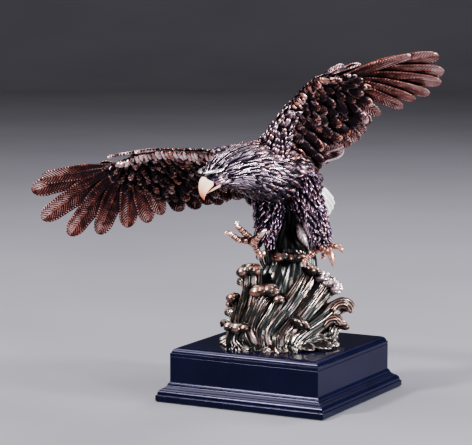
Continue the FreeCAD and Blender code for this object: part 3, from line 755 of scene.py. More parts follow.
class Limb:
    """A tapering round form that feathers grow on, from its start at share 0 to its end at share 1."""

    def __init__(self, centres, radii, reference, seed):
        self.centres, self.radii, self.reference = centres, radii, np.asarray(reference, float)
        self.rng = np.random.default_rng(seed)

    def at(self, share, angle):
        """A point on the form, the outward direction there, and the direction of its middle line."""
        share = np.atleast_1d(share)
        step = 0.01
        centre = curve(self.centres, share)
        before, after = (curve(self.centres, np.clip(share + way, 0, 1)) for way in (-step, step))
        tangent = unit(after - before)
        side = unit(np.cross(tangent, self.reference))
        normal = np.cross(side, tangent)
        out = side * np.cos(angle)[:, None] + normal * np.sin(angle)[:, None]
        return centre + out * curve(self.radii, share)[:, None], out, tangent

    def core(self, sculpt, rings=60):
        """The smooth form under the feathers."""
        share = np.linspace(0, 1, rings)
        angle = np.linspace(0, 2 * math.pi, CORE_PLACES, endpoint=False)
        loops = np.stack([self.at(share, np.full(rings, a))[0] for a in angle], axis=1)
        sculpt.add(loops, 0.0, 0.5)

    def feathers(
        self, sculpt, low, high, row_gap, gap, length, half, toward, jitter, raised, painted_top_light=0.0, **style
    ):
        """Rows of feathers from share low to high. toward is 1 if they point up the shares, -1 if down.

        The upward-facing feathers are painted lighter than the flanks and the downward-facing ones darker, by
        the amount given after raised: a painted highlight from above and painted shade below.
        """
        fine = np.linspace(0, 1, 100)
        centres = curve(self.centres, fine)
        total = np.sum(np.linalg.norm(np.diff(centres, axis=0), axis=1))
        rows = max(2, int((high - low) * total / row_gap))
        for r, share in enumerate(np.linspace(low, high, rows)):
            radius = curve(self.radii, share)[0]
            count = max(6, int(2 * math.pi * radius / gap))
            for k in range(count):
                angle = 2 * math.pi * (k + 0.5 * (r % 2)) / count + self.rng.normal(0, 0.05)
                here = np.clip(share + self.rng.normal(0, 0.15) * row_gap / total, 0, 1)
                root, out, tangent = (a[0] for a in self.at(here, np.array([angle])))
                long = length * self.rng.uniform(0.85, 1.2)
                end, out2, _ = (
                    a[0] for a in self.at(np.clip(here + toward * long / total, 0, 1), np.array([angle]))
                )
                beyond = np.linalg.norm(end - root)
                if beyond < long * 0.7:
                    end = root + tangent * toward * long
                side = unit(np.cross(out, end - root))
                end = end + side * self.rng.normal(0, jitter) * long
                end = end + out2 * self.rng.uniform(0.2, 1) * raised
                # painted highlight from above: feathers facing up are made lighter, those facing down darker
                mood = dict(style, worn=style["worn"] + painted_top_light * out[2])
                facing = unit(out + out2)
                feather(
                    sculpt, root - out * 0.6, end, facing, half * self.rng.uniform(0.85, 1.15), self.rng,
                    roll=self.rng.normal(0, 60 * jitter), **mood,
                )


def make_body():
    flesh, plumage, hackles = Sculpt(), Sculpt(), Sculpt()
    trunk = Limb(SPINE, GIRTH, UP, 21)
    trunk.core(flesh, 90)
    rough = dict(bow=0.15, cup=0.5, waist=0.8, shaft=0.25, shaft_rub=0.25, rim=0.26, tip_rub=0.42, thick=1.8)
    trunk.feathers(
        plumage, 0.05, 0.56, 4.0, 4.6, 6.4, 2.9, -1, 0.42, 3.2, painted_top_light=0.22, rows=7, columns=5, worn=0.0,
        **rough
    )
    trunk.feathers(
        hackles, 0.46, 0.97, 4.2, 4.0, 15, 1.85, -1, 0.07, 1.6, painted_top_light=0.06, rows=10, columns=9, thick=1.8,
        bow=0.06, cup=0.5, waist=0.85, shaft=0.6, shaft_rub=1.0, rim=0.0, tip_rub=0.35, worn=0.0, point=2.6,
        tone=0.35,
    )
    flesh.piece("body_core", BODY, "body_bronze", "eagle_body")
    plumage.piece("body_feathers", BODY, "body_bronze", "eagle_body")
    hackles.piece("neck_hackles", BODY, "body_bronze", "eagle_body")
    shoulders = Sculpt()
    for stations, seed in ((RIGHT_SHOULDER, 51), (LEFT_SHOULDER, 52)):
        shoulder = Limb(stations, SHOULDER_GIRTH, (0.3, 1, 0.3), seed)
        shoulder.core(shoulders, 30)
        shoulder.feathers(
            shoulders, 0.1, 0.95, 4.4, 4.8, 7.0, 3.0, 1, 0.34, 2.6, rows=7, columns=5, worn=0.02, **rough
        )
    shoulders.piece("shoulder_feathers", BODY, "body_bronze", "eagle_body")
    for side, stations, seed, worn in (("right", RIGHT_THIGH, 31, 0.0), ("left", LEFT_THIGH, 41, 0.08)):
        trousers = Sculpt()
        thigh = Limb(stations, THIGH_GIRTH, (0, 1, 0.2), seed)
        thigh.core(trousers)
        thigh.feathers(
            trousers, 0.05, 1.0, 3.5, 3.9, 6.4, 2.0, 1, 0.34, 2.8, rows=7, columns=5, thick=1.8, bow=0.12,
            cup=0.5, waist=0.8, shaft=0.3, shaft_rub=0.3, rim=0.25, tip_rub=0.45, worn=worn, point=1.6,
        )
        trousers.piece(f"{side}_trousers", TROUSERS, "body_bronze", "eagle_body")
    inner = Sculpt()
    inner_leg(inner)
    # the pale foam bronze here is a painted highlight on the inner leg feathers
    inner.piece("left_inner_leg", FOAM, "body_bronze", "eagle_body")


def inner_leg(sculpt):
    """The smooth feathers that lie down the inside of the left leg, made pale in the foam bronze as a painted
    highlight.
    """
    rng = np.random.default_rng(61)
    for top, low in INNER_LEG_PLUMES:
        feather(
            sculpt, wave_point(*top), wave_point(*low), wave_point(-0.2, 1, 0.3), 5.2, rng, rows=40,
            columns=13, thick=4.0, bow=0.14, cup=0.6, waist=0.55, shaft=0.6, rim=0.1, worn=0.5, tone=0.1,
            point=1.9, barbs=0.12, pitch=3.4, dark_root=0.3,
        )


# ------------------------------------------------------------ head and beak

CULMEN = np.array([-32.0, -85.0, 208.5])  # where the beak's ridge meets the brow
FORWARD = unit([-0.31, -0.82, -0.42])
ACROSS = unit(np.cross(UP, FORWARD)) * -1  # toward the bird's left
CROWN = np.cross(FORWARD, ACROSS) * -1
if CROWN[2] < 0:
    CROWN = -CROWN


# Middle lines on the left side, as head_point takes them. Each of CHEEKS is a front end and a length.
BROW = [(1.4, 5.6, 1.4), (-0.6, 5.8, 5.2), (-3.8, 5.0, 8.8), (-8, 3.8, 11.2), (-14, 2.6, 12.2)]
CHEEKS = [(-3.0, -3.0, 7.4, 12), (-2.0, -5.0, 7.2, 12), (-2.5, -7.0, 7.8, 11), (-6, -9, 9.4, 11)]
GAPE = [(3.2, -11, 4.7), (-0.5, -10.2, 6.9), (-4.5, -9.8, 8.6), (-9, -9.4, 10.4)]


def head_point(ahead, above, left=0.0):
    """A point ahead of, above and to the left of where the beak meets the brow."""
    return CULMEN + FORWARD * ahead + CROWN * above + ACROSS * left


def tube(sculpt, path, widths, heights, side, places=20, worn=0.0, tone=0.5, samples=24, ripple=None):
    """A shell swept along a path with elliptical rings, each width across side and height square to it."""
    share = np.linspace(0, 1, samples)
    line = curve(path, share)
    tangent = unit(np.gradient(line, axis=0))
    across = unit(side - tangent * (tangent @ np.asarray(side, float))[:, None])
    rise = np.cross(tangent, across)
    angle = np.linspace(0, 2 * math.pi, places, endpoint=False)
    wide = np.maximum(curve(widths, share), 0.05)[:, None] * np.cos(angle)
    high = np.maximum(curve(heights, share), 0.05)[:, None] * np.sin(angle)
    if ripple is not None:
        scale = ripple(share[:, None], angle[None, :])
        wide, high = wide * scale, high * scale
    rings = line[:, None, :] + across[:, None, :] * wide[..., None] + rise[:, None, :] * high[..., None]
    if callable(worn):
        worn = worn(share[:, None], angle[None, :])
    sculpt.add(rings, worn, tone)


def ball(sculpt, centre, radius, squash=(1, 1, 1), worn=0.5, tone=0.5, places=18):
    """A round bead, squashed along x, y and z."""
    polar = np.linspace(0.06, math.pi - 0.06, places // 2 + 3)
    angle = np.linspace(0, 2 * math.pi, places, endpoint=False)
    x = np.sin(polar)[:, None] * np.cos(angle)
    y = np.sin(polar)[:, None] * np.sin(angle)
    z = np.repeat(np.cos(polar)[:, None], places, axis=1)
    points = np.stack([x * squash[0], y * squash[1], z * squash[2]], axis=-1) * radius
    sculpt.add(np.asarray(centre) + points, worn, tone)


def make_head():
    skull, crown = Sculpt(), Sculpt()
    for sign in (1, -1):
        brow = [head_point(ahead, above, left * sign) for ahead, above, left in BROW]
        tube(skull, brow, [1.3, 2.0, 2.1, 1.6, 0.6], [0.6, 0.8, 0.8, 0.6, 0.3], FORWARD, 14, 0.95, 0.1)
        socket = head_point(-5.4, 0.0, 7.6 * sign)
        ball(skull, socket, 3.6, (1, 1, 0.8), 0.0)
        for ahead, above, out, reach in CHEEKS:
            cheek = [
                head_point(ahead - reach * back, above - drop, (out + swell) * sign)
                for back, drop, swell in ((0, 0, 0), (0.5, 0.6, 2.4), (1, 2.2, 3.2))
            ]
            tube(skull, cheek, [1.1, 1.7, 0.5], [0.9, 1.3, 0.4], CROWN, 10, 0.45)
    face = [head_point(*p) for p in ((-12, -3.8), (-7, -3.8), (-3, -3.4), (0.5, -3.0), (2.4, -3.2))]
    tube(skull, face, [12, 10.4, 8.8, 7.0, 4.6], [11, 9.2, 7.6, 6.0, 4.2], ACROSS, 36, 0.12, samples=36)
    head = Limb(
        [head_point(-14, -3.2), head_point(-8, -4.2), head_point(-3, -4.0), head_point(0.5, -3.4)],
        [12.4, 9.8, 7.6, 5.8], CROWN, 78
    )
    head.feathers(
        crown, 0.0, 0.86, 2.6, 2.9, 8.5, 1.45, -1, 0.04, 0.7, rows=9, columns=7, thick=1.2, bow=0.04, cup=0.5,
        waist=0.85, shaft=0.4, shaft_rub=0.8, rim=0.0, tip_rub=0.2, worn=0.05, point=2.2, tone=0.2,
    )
    eyes = Sculpt()
    for sign in (1, -1):
        ball(eyes, head_point(-5.0, 0.9, 8.9 * sign), 2.3, worn=0.0)
    skull.piece("head", BODY, "body_bronze", "eagle_body")
    crown.piece("head_feathers", BODY, "body_bronze", "eagle_body")
    eyes.piece("eyes", EYE, "beak_paint", "eagle_body")


def horn(sculpt, upper, lower, halves, rub):
    """A horny half of the beak, from its top and bottom outlines (ahead, above) and its half widths."""
    share = np.linspace(0, 1, 46)
    top, bottom = curve(upper, share), curve(lower, share)
    half = np.maximum(curve(halves, share), 0.2)
    angle = np.linspace(0, 2 * math.pi, 30, endpoint=False)
    middle, tall = (top + bottom) / 2, (top - bottom) / 2
    x = np.sign(np.cos(angle)) * np.abs(np.cos(angle)) ** 0.85
    y = np.sin(angle)
    ahead = middle[:, :1] + tall[:, :1] * y
    above = middle[:, 1:] + tall[:, 1:] * y
    left = half[:, None] * x * (1 - 0.25 * np.maximum(y, 0))
    rings = CULMEN + ahead[..., None] * FORWARD + above[..., None] * CROWN + left[..., None] * ACROSS
    sculpt.add(rings, rub(share)[:, None] * np.ones_like(x), 0.5)


def make_beak():
    beak = Sculpt()
    upper_top = [(-3, 3.4), (1.5, 2.4), (5.8, 0.2), (9.2, -4.2), (11.1, -8.8), (11.4, -13), (10.4, -17.2)]
    upper_bottom = [
        (-4, -9.6), (-0.5, -10.0), (2.8, -10.6), (5.4, -11.4), (7.6, -12.8), (9.2, -14.8), (10.0, -17.0)
    ]
    horn(beak, upper_top, upper_bottom, [8.4, 7.4, 6.2, 4.9, 3.5, 2.0, 0.3], lambda s: ramp(s, 0.35, 0.9))
    lower_top = [(-6, -9.8), (-1, -10.4), (3, -11.0), (6.4, -12.2)]
    lower_bottom = [(-6, -12.9), (-1.5, -12.7), (2.6, -12.6), (6.0, -12.8)]
    horn(beak, lower_top, lower_bottom, [8.2, 6.4, 4.4, 1.4], lambda s: 0.35 * ramp(s, 0.3, 1))
    for sign in (1, -1):
        gape = [head_point(ahead, above, left * sign) for ahead, above, left in GAPE]
        tube(beak, gape, [0.5, 0.7, 0.8, 0.4], [0.4, 0.55, 0.6, 0.3], CROWN, 12, 0.3)
        ball(beak, head_point(3.4, -3.6, 5.6 * sign), 0.9, worn=0.2, places=12)
    beak.piece("beak_horn", BEAK, "beak_paint", "beak")


# ------------------------------------------------------------ feet

RIGHT_FOOT = (-14, -29, 145)
RIGHT_TOES = [
    [(-22, -41, 148), (-27, -48, 154), (-31, -52, 153)],
    [(-18, -37, 154), (-23, -41, 160), (-22, -40, 165)],
    [(-8, -37, 147), (0, -40, 154), (5, -39, 160)],
    [(-12, -25, 138), (-11, -21, 132), (-14, -18, 128)],
]
RIGHT_SHANK = [(-9, -21, 157), (-11, -25, 150), (-14, -29, 145)]
LEFT_FOOT = (44, -4, 140)
LEFT_TOES = [
    [(38, -13, 136), (34, -18, 130), (35, -18, 124)],
    [(50, -13, 142), (57, -17, 140), (62, -18, 126)],
    [(53, -6, 143), (60, -6, 143), (65, -5, 137)],
    [(43, 4, 137), (40, 9, 132), (38, 9, 127)],
]
LEFT_SHANK = [(41, -2, 156), (43, -3, 148), (44, -4, 140)]


TOE_JOINTS = (0.26, 0.52, 0.76, 0.97)  # shares of the way along a toe
SCALE_TURNS = 62  # how finely a toe is ringed with scales


def toe(sculpt, foot, joints, phase, stout=1.0):
    """A scaly toe with swollen joints, then a smooth hooked talon."""
    foot, (knuckle, end, claw) = np.asarray(foot, float), [np.asarray(j, float) for j in joints]
    path = [foot, (foot + knuckle) / 2 + UP * 0.6, knuckle, (knuckle + end) / 2, end]
    side = unit(np.cross(end - foot, UP) + 1e-6)

    def scales(s, a):
        swell = sum(0.20 * bump(s, middle, 0.06) for middle in TOE_JOINTS)
        plates = np.sin(s * SCALE_TURNS + phase) * (np.sin(a) > -0.3)
        return 0.95 + swell + 0.05 * plates + 0.03 * np.sin(5 * a + 9 * s)

    def rub(s, a):
        swell = sum(bump(s, middle, 0.05) for middle in TOE_JOINTS)
        return 0.26 + 0.25 * swell + 0.12 * np.sin(s * SCALE_TURNS + phase) + 0.14 * np.sin(a)

    tube(sculpt, path, [3.7, 3.2, 3.0, 2.6, 2.4], [3.4, 3.0, 2.8, 2.5, 2.2], side, 20, rub, 0.7, 80, scales)
    reach = unit(end - knuckle)
    talon = [end - reach * 1.5, end + reach * 1.6, (end + claw) / 2 + reach * 2.0, claw]
    horn_size = [stout * r for r in (2.2, 2.3, 1.7, 0.25)]
    tube(
        sculpt, talon, horn_size, horn_size, side, 16, lambda s, a: 0.42 + 0.3 * s + 0.2 * np.sin(a), 0.5, 26
    )


def make_foot(side, foot, toes, shank):
    sculpt = Sculpt()
    for k, joints in enumerate(toes):
        toe(sculpt, foot, joints, k, 1.5 if side == "left" and k == 1 else 1.0)
    ball(sculpt, foot, 4.8, (1, 1, 0.85), 0.4, 0.7)
    girth = [4.6, 3.6, 3.9]
    tube(
        sculpt, shank, girth, girth, np.array([1.0, 0.2, 0]), 16,
        lambda s, a: 0.35 + 0.1 * np.sin(s * 40) + 0 * a, 0.7, 50,
        lambda s, a: 1 + 0.05 * np.sin(s * 40) + 0 * a,
    )
    sculpt.piece(f"{side}_foot_scaled", FOOT, "foot_bronze", f"{side}_foot")


# ------------------------------------------------------------ tail

TAIL_ROOT = np.array([10.0, 34.0, 189.0])
TAIL_TIPS = [
    (9, 82, 171), (8, 87, 166), (5, 90, 161), (1, 92, 156), (-4, 93, 151),
    (-9, 92, 148), (-14, 90, 147), (-18, 85, 148), (-22, 78, 151),
]


def make_tail():
    sculpt = Sculpt()
    rng = np.random.default_rng(3)
    tips = np.array(TAIL_TIPS, float)
    middle = tips.mean(axis=0)
    spread = unit(tips[0] - tips[-1])
    out = unit(np.cross(spread, middle - TAIL_ROOT))
    out = out if out[2] > 0 else -out
    for i, tip in enumerate(tips):
        place = i / (len(tips) - 1) - 0.5
        root = TAIL_ROOT + spread * (-place * 12)
        feather(
            sculpt, root + out * (2.0 - 4 * abs(place)), tip, out, 7.2, rng, rows=100, columns=17,
            thick=2.4, bow=0.05, cup=0.2, roll=5, waist=0.55, shaft=0.6, barbs=0.2, pitch=2.6, point=0.9,
            rim=0.0, worn=0.0,
        )
    for layer, (reach, half, count) in enumerate(((0.55, 4.6, 9), (0.36, 4.2, 8), (0.22, 3.8, 7))):
        for face in (1, -1):
            for k in range(count):
                place = (k + 0.5) / count - 0.5
                aim = middle - spread * place * 46
                root = TAIL_ROOT + spread * (-place * 16) + out * face * 2.5
                end = TAIL_ROOT + (aim - TAIL_ROOT) * reach + out * face * (4.2 + layer)
                feather(
                    sculpt, root, end, out * face, half, rng, rows=20, columns=9, thick=1.6, bow=0.1, cup=0.3,
                    waist=0.7, shaft=0.4, barbs=0.1, rim=0.0,
                )
    sculpt.piece("tail_fan", TAIL, "tail_paint", "tail")


# ------------------------------------------------------------ wave

GROUND = 49.5  # the plinth's top
WAVE_TURN = math.radians(28)  # the wave breaks toward a line this far round from the plinth's front


def wave_point(along, toward, up=0.0):
    """A point in the wave's own directions: along its face, out toward where it breaks, and up."""
    c, s = math.cos(WAVE_TURN), math.sin(WAVE_TURN)
    return np.array([along * c + toward * s, along * s - toward * c, up])


class Tongue:
    """A sheet of water that climbs from the plinth, bends over at its crest and ends in a row of knobs.

    path holds (along, toward, up) points, halves the half width at each, and lean which way its crest bends.
    knob is the size of its knobs, tilt how far its crest drops to one side, curl how far its lip rolls over.
    """

    def __init__(self, path, halves, lean, knobs=0, knob=4.5, tilt=0.0, curl=1.0, depth=7.0):
        self.path, self.halves, self.lean, self.knobs = path, halves, lean, knobs
        self.knob, self.tilt, self.curl, self.depth = knob, tilt, curl, depth


FRONT_TONGUES = [
    Tongue([(3, 30, 50), (5, 24, 80), (8, 17, 106), (8, 12, 129.5)],
           [12, 10, 9, 14], (0, 1), 5, 4.9, -0.06, depth=9),
    Tongue([(-37, 27, 50), (-35, 27, 78), (-29, 25, 100), (-28, 23, 119)],
           [9, 8, 8, 9.5], (-0.35, 1), 4, 4.2, 0.10, depth=8),
    Tongue([(-20, 42, 50), (-29, 39, 68), (-22, 37, 88), (-15, 34, 101)],
           [12, 10, 9, 11.5], (0, 1), 4, 4.9, 0.16, depth=8),
    Tongue([(-12, 45, 50), (-17, 43, 66), (-9, 41, 82), (-3, 39, 93)],
           [7, 6, 5, 4], (0.1, 1), 1, 4.3, depth=6),
    Tongue([(-6, 45, 50), (-8, 42, 66), (8, 35, 88), (21, 24, 106), (28, 16, 117)],
           [12, 11, 10, 8, 6], (0.4, 1), 2, 4.2, -0.2, depth=8),
    Tongue([(6, 46, 50), (8, 43, 62), (25, 33, 82), (38, 20, 96), (45, 13, 103)],
           [11, 11, 10, 10, 10], (1, 0.6), 0, 3.3, -0.5, depth=8),
    Tongue([(12, 46, 50), (18, 43, 58), (37, 30, 71), (50, 20, 81), (56, 14, 85)],
           [10, 10, 9, 8, 8], (1, 0.3), 0, 4.0, -0.3, 1.2, 7),
    Tongue([(4, 48, 50), (4, 47, 58), (11, 45, 67), (16, 42, 72)],
           [8, 7, 7, 9.5], (0.4, 1), 2, 5.0, -0.45, depth=6),
    Tongue([(20, 44, 50), (26, 42, 54), (37, 36, 56), (42, 31, 53)], [8, 8, 7, 5], (1, 0.5), 0, 3, 0, 0.8, 4),
    Tongue([(-40, 40, 50), (-43, 40, 58), (-41, 40, 65), (-40, 39, 69)],
           [9, 8, 8, 12], (-0.3, 1), 3, 4.1, 0.05, depth=6),
    Tongue([(-42, 14, 50), (-45, 13, 68), (-42, 12, 82), (-42, 11, 91)],
           [7, 6, 5, 4.5], (-1, 0.3), 2, 3.9, depth=5),
    Tongue([(36, 10, 50), (41, 8, 56), (43, 5, 61), (46, 3, 64)], [9, 8, 7, 6], (1, 0.2), 2, 3.8, depth=5),
    Tongue([(42, 20, 50), (48, 18, 57), (51, 14, 62), (54, 11, 65)], [7, 6, 6, 5], (1, 0.2), 2, 3.5, depth=5),
]
BACK_TONGUES = [
    Tongue([(36, -20, 50), (31, -19, 74), (24, -16, 97), (19, -17, 113)],
           [13, 11, 9, 8], (0.2, -1), 2, 5.2, 0.12, depth=9),
    Tongue([(16, -27, 50), (9, -24, 80), (-1, -20, 106), (-8, -20, 125)],
           [14, 12, 11, 12], (-0.2, -1), 4, 4.8, 0.08, depth=10),
    Tongue([(-14, -26, 50), (-20, -22, 74), (-27, -18, 92), (-32, -15, 101)],
           [13, 11, 9, 6], (-0.8, -1), 1, 5.0, 0.2, depth=9),
    Tongue([(-36, -12, 50), (-39, -8, 68), (-40, -3, 79), (-42, 0, 85)],
           [12, 11, 9, 8], (-1, -0.2), 2, 4.4, depth=8),
    Tongue([(46, -8, 50), (45, -5, 66), (41, -2, 86), (40, 0, 98)],
           [12, 10, 8, 6], (1, -0.1), 1, 5.2, depth=8),
    Tongue([(-20, -39, 50), (-29, -37, 60), (-38, -33, 67), (-43, -31, 70)],
           [11, 10, 8, 6], (-1, -0.6), 1, 4.6, -0.2, depth=7),
    Tongue([(12, -43, 50), (4, -41, 66), (-8, -37, 80), (-17, -34, 87)],
           [13, 11, 9, 8], (-0.7, -1), 2, 5.0, -0.25, depth=7),
    Tongue([(37, -35, 50), (31, -36, 62), (21, -37, 73), (14, -38, 79)],
           [11, 10, 8, 9], (-0.1, -1), 3, 4.4, -0.15, depth=7),
    Tongue([(-45, -18, 50), (-47, -17, 56), (-48, -15, 60), (-49, -14, 62)],
           [8, 8, 7, 5], (-1, -0.2), 1, 4.2, depth=5),
    Tongue([(48, -26, 50), (50, -24, 55), (51, -21, 59), (52, -19, 61)],
           [9, 8, 7, 5], (1, -0.3), 1, 4.2, depth=5),
    Tongue([(20, -46, 50), (17, -46, 54), (10, -46, 57), (5, -46, 58)],
           [9, 8, 7, 5], (-0.6, -1), 1, 4.0, depth=4),
]


ROLLED_LIPS = [  # path, width and thickness
    ([(46, 20, 81), (52, 17, 86), (57.5, 15, 87.5), (62, 14, 85.5), (64, 14, 81.5), (63, 14, 78.5)],
     9.5, 4.2),
    ([(38, 27, 68), (43, 24, 73), (48, 22, 75), (52, 21, 73.5), (54, 20, 70.5), (53.5, 20, 68)],
     7.5, 3.6),
]
LEAVES = [  # root, tip and half width
    ((24, 42, 54), (46, 40, 51.6), 7), ((30, 36, 55), (53, 28, 51.6), 6), ((14, 46, 53), (30, 49, 51.6), 6),
]
FOAM_MOUNDS = [(37, 13, 111), (43, 13, 107), (49, 12, 102), (46, 6, 106)]
COLUMN = [(-4, 4, GROUND), (-2, 4, 72), (5, 2, 96), (9, 0, 120), (5, -3, 142), (7, -5, 164), (8, -6, 186)]
SKIRT = [(-4, 0, GROUND), (-4, 0, GROUND + 1.6), (-4, 1, GROUND + 3.6)]


def grooves(across_place, along_share, count, phase):
    """Rounded ridges of uneven width with sharp grooves between, 0 in a groove and 1 on a ridge."""
    uneven = 0.11 * np.sin(3.3 * across_place + phase) + 0.06 * np.sin(7.9 * across_place + 2.3 * phase)
    wander = 0.5 * np.sin(4.3 * along_share + phase) + 0.22 * np.sin(10.0 * along_share + 2.1 * phase)
    wander = wander + 0.25 * np.sin(6.0 * across_place + 4.0 * along_share + 1.7 * phase)
    return np.abs(np.sin(math.pi * (count * (0.5 + 0.5 * across_place + uneven) + wander)))


STRAND = 2.8  # how wide a strand of water is on a tongue
CREST_LEVELS = 0.55, 0.75  # the shares of a tongue over which it turns level toward its crest
CREST_SMOOTH = 0.70, 0.84  # and over which its strands run out


def tongue(sculpt, shape, rng):
    """One tongue: a sheet swept up its path, ribbed with strands, with a lip and knobs at its crest."""
    rings, places = 100, 120
    lean = wave_point(*shape.lean)
    lean = unit(np.array([lean[0], lean[1], 0.0]))
    path = [wave_point(*p) for p in shape.path]
    crest, knob = path[-1], shape.knob
    flare = [path[0] + lean * 5, path[0] * 0.75 + path[1] * 0.25 - lean * 0.5]
    lip = [
        crest + lean * knob * shape.curl * 0.7 + UP * knob * 0.1,
        crest + lean * knob * shape.curl * 1.2 - UP * knob * 0.3
    ]
    line_points = flare + path[1:] + lip
    share = np.linspace(0, 1, rings)
    line = curve(line_points, share)
    tangent = unit(np.gradient(line, axis=0))
    facing = unit(lean + 0.25 * UP + 0.9 * UP * ramp(share, 0.72, 0.95)[:, None])
    across = unit(np.cross(tangent, facing))
    steady = across[int(rings * 0.62)]
    blend = ramp(share, *CREST_LEVELS)[:, None]
    level = steady * np.array([1, 1, 0.15 if shape.knobs else 1.0])
    across = unit(across * (1 - blend) + unit(level) * blend)
    across = unit(across + UP * shape.tilt * blend * np.sign(np.dot(steady, wave_point(1, 0))))
    rise = np.cross(across, tangent)
    halves = [shape.halves[0] * 1.15, shape.halves[0]] + list(shape.halves[1:]) + [
        shape.halves[-1] * 0.85, shape.halves[-1] * 0.6
    ]
    half = curve(halves, share)[:, None]
    body = [shape.depth * 0.6] + [shape.depth] * (len(line_points) - 4) + [
        knob * 0.85, knob * 0.65, knob * 0.3
    ]
    depth = curve(body, share)[:, None]
    angle = np.linspace(0, 2 * math.pi, places, endpoint=False)[None, :]
    x, y = np.cos(angle), np.sin(angle)
    normal_x, normal_y = x / half, y / depth
    size = np.sqrt(normal_x**2 + normal_y**2)
    normal_x, normal_y = normal_x / size, normal_y / size
    turn = np.mod(angle / math.pi + 0.5, 2)
    over_face = np.where(turn < 1, 1 - 2 * turn, 2 * turn - 3)
    count = max(3, int(2 * np.mean(shape.halves) / STRAND))
    phase = rng.uniform(0, 6)
    s = share[:, None]
    merge = ramp(s, 0.25, 0.6)
    ridge = grooves(over_face, s, count + 2, phase) * (1 - merge)
    ridge = ridge + grooves(over_face, s, count, phase + 0.7) * merge
    small = grooves(over_face, s, count * 2 + 3, phase + 1)
    fade = 1 - ramp(s, *CREST_SMOOTH)
    lane = np.clip((count * (0.5 + 0.5 * over_face)).astype(int), 0, count)
    strength = curve(rng.uniform(0.6, 1.3, count + 2), (0.5 + 0.5 * over_face)[0])[None, :]
    relief_out = (2.3 * strength * (ridge - 0.75) + 0.5 * (small - 0.6)) * fade
    swell = 1 + 0.07 * np.sin(3 * s * math.pi + phase)
    points = line[:, None, :] + across[:, None, :] * (x * half * swell + normal_x * relief_out)[..., None]
    points = points + rise[:, None, :] * (y * depth + normal_y * relief_out - 0.75 * depth)[..., None]
    shine = 0.76 + 0.34 * np.sin(8 * s + 2.4 * lane + phase)
    rub = 1.05 * ramp(ridge, 0.84, 1.0) * strength * shine * fade + 0.25 * ramp(s, 0.80, 0.95)
    rub = rub + (0.24 * ramp(small, 0.8, 1.0) - 0.02) * fade + 0.6 * (1 - ramp(s, 0.0, 0.05))
    sculpt.add(points, rub, rng.uniform(0.1, 0.6))
    knob_row(sculpt, shape, crest, across[-1], lean, rng)


def lobe(sculpt, spot, size, across, lean, rng):
    """A drop that rolls over a crest: wider than tall, flatter below, with random wear and its crown painted
    lighter as a highlight from above.
    """
    polar = np.linspace(0.06, math.pi - 0.06, 16)[:, None]
    angle = np.linspace(0, 2 * math.pi, 28, endpoint=False)[None, :]
    wide, deep, tall = rng.uniform(1.0, 1.2), rng.uniform(0.95, 1.1), rng.uniform(0.82, 1.0)
    ripple = 1 + 0.05 * np.sin(2 * angle + rng.uniform(0, 6)) * np.sin(polar)
    along = np.sin(polar) * np.cos(angle) * size * wide * ripple
    out = np.sin(polar) * np.sin(angle) * size * deep * ripple
    up = np.cos(polar) * np.ones_like(angle) * size * np.where(np.cos(polar) > 0, tall, 0.8 * tall)
    points = np.asarray(spot) + along[..., None] * across + out[..., None] * lean + up[..., None] * UP
    # random wear, plus a painted highlight on the upward-facing crown
    rub = rng.uniform(0.0, 0.3) + 0.45 * ramp(np.cos(polar), 0.1, 0.9) * np.ones_like(angle)
    sculpt.add(points, rub, rng.uniform(0.4, 1.0))


def knob_row(sculpt, shape, crest, across, lean, rng):
    """The drops that a crest ends in: a front row and, on a long crest, one fewer heaped behind it."""
    for row in (0, 1) if shape.knobs > 3 else (0,):
        count = shape.knobs - row
        for k in range(count):
            spread = (k + 0.5) / count * 2 - 1
            size = shape.knob * rng.uniform(0.9, 1.3) * (1 - 0.15 * row)
            reach = shape.halves[-1] - shape.knob * (0.2 + 0.4 * row)
            out = shape.knob * (shape.curl * 0.95 - 1.15 * row) + rng.uniform(-1.2, 1.2)
            up = shape.knob * (0.32 + 0.42 * row - 0.25 * spread**2) + rng.uniform(-1.4, 1.2)
            spot = crest + across * spread * reach + lean * out + UP * up
            lobe(sculpt, spot, size, across, lean, rng)


def foam(sculpt, places, count, rng):
    """Froth: bubbles of many sizes heaped over soft mounds along a crest."""
    for place in places:
        ball(sculpt, place, 5.4, (1.1, 1.1, 0.9), 0.4, 0.1, 24)
    for _ in range(count):
        middle = places[rng.integers(len(places))]
        way = unit(rng.normal(0, 1, 3) + np.array([0, 0, 0.5]))
        size = rng.uniform(1.6, 4.2)
        spot = middle + way * rng.uniform(3.0, 5.0)
        ball(sculpt, spot, size, (1.15, 1.1, 0.75), rng.uniform(0.2, 0.8), 0.1, 18)


def rolled_lip(sculpt, path, wide, thick):
    """A lip of water rolled over and down, with a blunt end."""
    points = [wave_point(*p) for p in path]
    side = wave_point(-0.25, 1)
    widths = [wide * w for w in (0.8, 1, 1, 0.85, 0.55, 0.1)]
    depths = [thick * w for w in (0.7, 1, 1.1, 1.1, 0.8, 0.2)]
    tube(
        sculpt, points, widths, depths, side, 72,
        lambda s, a: 0.10 + 0.55 * ramp(np.sin(9 * a + 4 * s), 0.2, 1) + 0.5 * ramp(s, 0.55, 0.9), 0.85, 50,
        lambda s, a: 1 + 0.07 * np.sin(9 * a + 4 * s) + 0.08 * np.sin(3 * a + 3 * s),
    )


def leaf(sculpt, root, tip, half, rng):
    """A flat splash that lies on the plinth, bright round its rim."""
    feather(
        sculpt, wave_point(*root), wave_point(*tip), wave_point(0, 0.5, 1), half, rng, rows=60, columns=19,
        thick=2.2, bow=0.05, cup=-0.25, waist=0.5, shaft=0.0, shaft_rub=0.0, rim=1.0, tip_rub=0.5,
        barbs=0.35, pitch=5.0, worn=-0.1, tone=0.1, dark_root=0.3,
    )


# How far out a root runs, its height, and how far round it has swung, step by step.
ROOT_PATH = [(34, 70, 0.22), (37.5, 61, 0.12), (41.5, 54.5, 0.04), (47, 51.2, 0), (49.5, 50.2, 0)]


